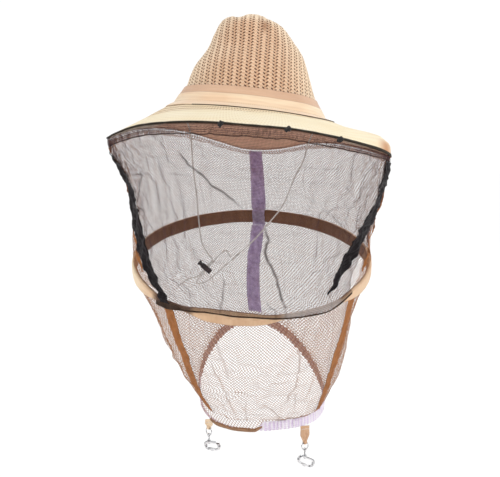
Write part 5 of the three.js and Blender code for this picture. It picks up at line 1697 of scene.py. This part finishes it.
def make_cord(side, pts):
    sides = 8
    line, run = path_points(pts, 520)
    part = tube("chin_braid_" + side, line, run, 0.8, CORD, sides=sides, strands=3, lay=3.4)
    register(part, replaces="chin_cord_" + side)

    def run_at(place):
        return run[np.linalg.norm(line - np.array(place), axis=1).argmin()]
    # weights on the free end and the turn under the lock, which the lower net pushes up as the veil
    # lifts; follow does not use them
    if side == "left":
        start = run_at(in_lock(14, -1))
        weight = 0.72 * np.clip((run - start) / (run[-1] - start), 0, 1)
    else:
        start, end = run_at(RIGHT_TURN), run_at(in_lock(14, 1))
        weight = (0.34 * fade(run, start, 0.5 * (end - start))
                  * fade(run, end, -0.28 * (end - start)))
    follow(part, np.repeat(weight, sides))


def make_spring():
    """The lock's coil, which shortens under the plunger, copied unchanged from the CAD spring."""
    bpy.context.view_layer.update()
    source = NODES["cord_lock_spring"]
    coords = np.array([source.matrix_world @ v.co for v in source.data.vertices])
    faces = [tuple(face.vertices) for face in source.data.polygons]
    part = put_mesh("cord_lock_coil", coords, faces, STEEL)
    register(part, replaces="cord_lock_spring")
    along = coords @ SPRING_AXIS
    follow(part,
           (along.max() - along) / (along.max() - along.min()))


make_crown()
make_band()
make_sweatband()
make_brim()
make_brim_binding()
make_anchors()
make_knots()
make_front_net()
make_rear_net()
make_upper_tapes()
make_front_roll()
make_casing()
make_seam_bridge()
make_lower()
make_hem()
make_hem_roll()
for strap in STRAPS:
    make_strap(*strap)
make_cord("left", LEFT_CORD)
make_cord("right", RIGHT_CORD)
make_spring()


# ------------------------------------------ hardware kept from the CAD part
def dress(node, material, bevel=0.0, subdivisions=0):
    part = NODES[node]
    part.data.materials.clear()
    part.data.materials.append(material)
    part.modifiers.new("weld", "WELD").merge_threshold = 1e-6
    if bevel:
        modifier = part.modifiers.new("bevel", "BEVEL")
        modifier.width, modifier.segments = bevel * MM, 3
        modifier.limit_method, modifier.angle_limit = "ANGLE", math.radians(38)
        modifier.use_clamp_overlap = True
    if subdivisions:
        modifier = part.modifiers.new("sub", "SUBSURF")
        modifier.levels = modifier.render_levels = subdivisions
    part.data.polygons.foreach_set("use_smooth", np.ones(len(part.data.polygons), bool))


for node in NODES:
    if node.startswith("ring_"):
        dress(node, CHROME, subdivisions=2)
    elif node.startswith(("swivel_", "hook_body_", "hook_gate_")):
        dress(node, CHROME, bevel=0.28)
    elif node.startswith("gate_pin_") or node == "hoop_ferrule":
        dress(node, STEEL, bevel=0.12)
    elif node in ("hoop_wire", "brim_edge_wire", "cord_lock_spring"):
        dress(node, STEEL)
    elif node.startswith("cord_lock_"):
        dress(node, PLASTIC, bevel=0.3)


# ----------------------------------------------------- floor, light, camera
WHITE = (1, 1, 1, 1)


def floor_material():
    """Pale floor that also glows a little towards the camera."""
    graph = Graph("pale_floor")
    mottle = noise(graph.coordinates("Object"), 3.0, detail=3, roughness=0.5)
    base = blend((0.93, 0.93, 0.93, 1), (0.955, 0.955, 0.955, 1), ramp(mottle, 0.3, 0.7))
    matt = principled(base, roughness=0.9, specular=0.05)
    glow = graph.source("ShaderNodeEmission", 0, {"Color": WHITE, "Strength": 1.07})
    return graph.finish(mix_shader(graph.camera_ray() * 0.84, matt, glow))


def make_world():
    """White surround, brighter to the camera than as a light."""
    studio = bpy.data.worlds.new("studio")
    bpy.context.scene.world = studio
    graph = Graph(world_block=studio)
    lighting, seen = (
        graph.source("ShaderNodeBackground", 0, {"Color": WHITE, "Strength": strength})
        for strength in (0.80, 1.03))
    graph.finish(mix_shader(graph.camera_ray(), lighting, seen))


def area_light(name, location, target_z, size, power):
    light = bpy.data.lights.new(name, "AREA")
    light.shape, light.size, light.energy = "DISK", size, power
    lamp = bpy.data.objects.new(name, light)
    bpy.context.scene.collection.objects.link(lamp)
    lamp.location = location
    aim = Vector((0, 0, target_z)) - Vector(location)
    lamp.rotation_euler = aim.to_track_quat("-Z", "Y").to_euler()


FLOOR_HALF, FLOOR_Z = 12.0, -0.003  # metres
corners = [(x * FLOOR_HALF, y * FLOOR_HALF, FLOOR_Z) for x, y in ((-1, -1), (1, -1), (1, 1), (-1, 1))]
put_mesh("floor", corners, [(0, 1, 2, 3)], floor_material())
make_world()
area_light("key", (1.7, -1.1, 1.6), target_z=0.4, size=0.9, power=22)
area_light("fill", (-1.8, -0.8, 1.0), target_z=0.35, size=1.2, power=11)
area_light("rim", (0.4, 1.8, 1.5), target_z=0.4, size=1.0, power=8)

scene = bpy.context.scene
camera = bpy.data.objects.new("camera", bpy.data.cameras.new("camera"))
scene.collection.objects.link(camera)
camera.location = (0.00054, -1.11982, 0.39389)
camera.rotation_euler = (math.radians(84), 0, 0)
camera.data.lens, camera.data.sensor_width = 65, 36
camera.data.clip_start, camera.data.clip_end = 0.01, 60
scene.camera = camera
scene.view_settings.view_transform = "Standard"
scene.cycles.transparent_max_bounces = 40
scene.cycles.max_bounces = 8
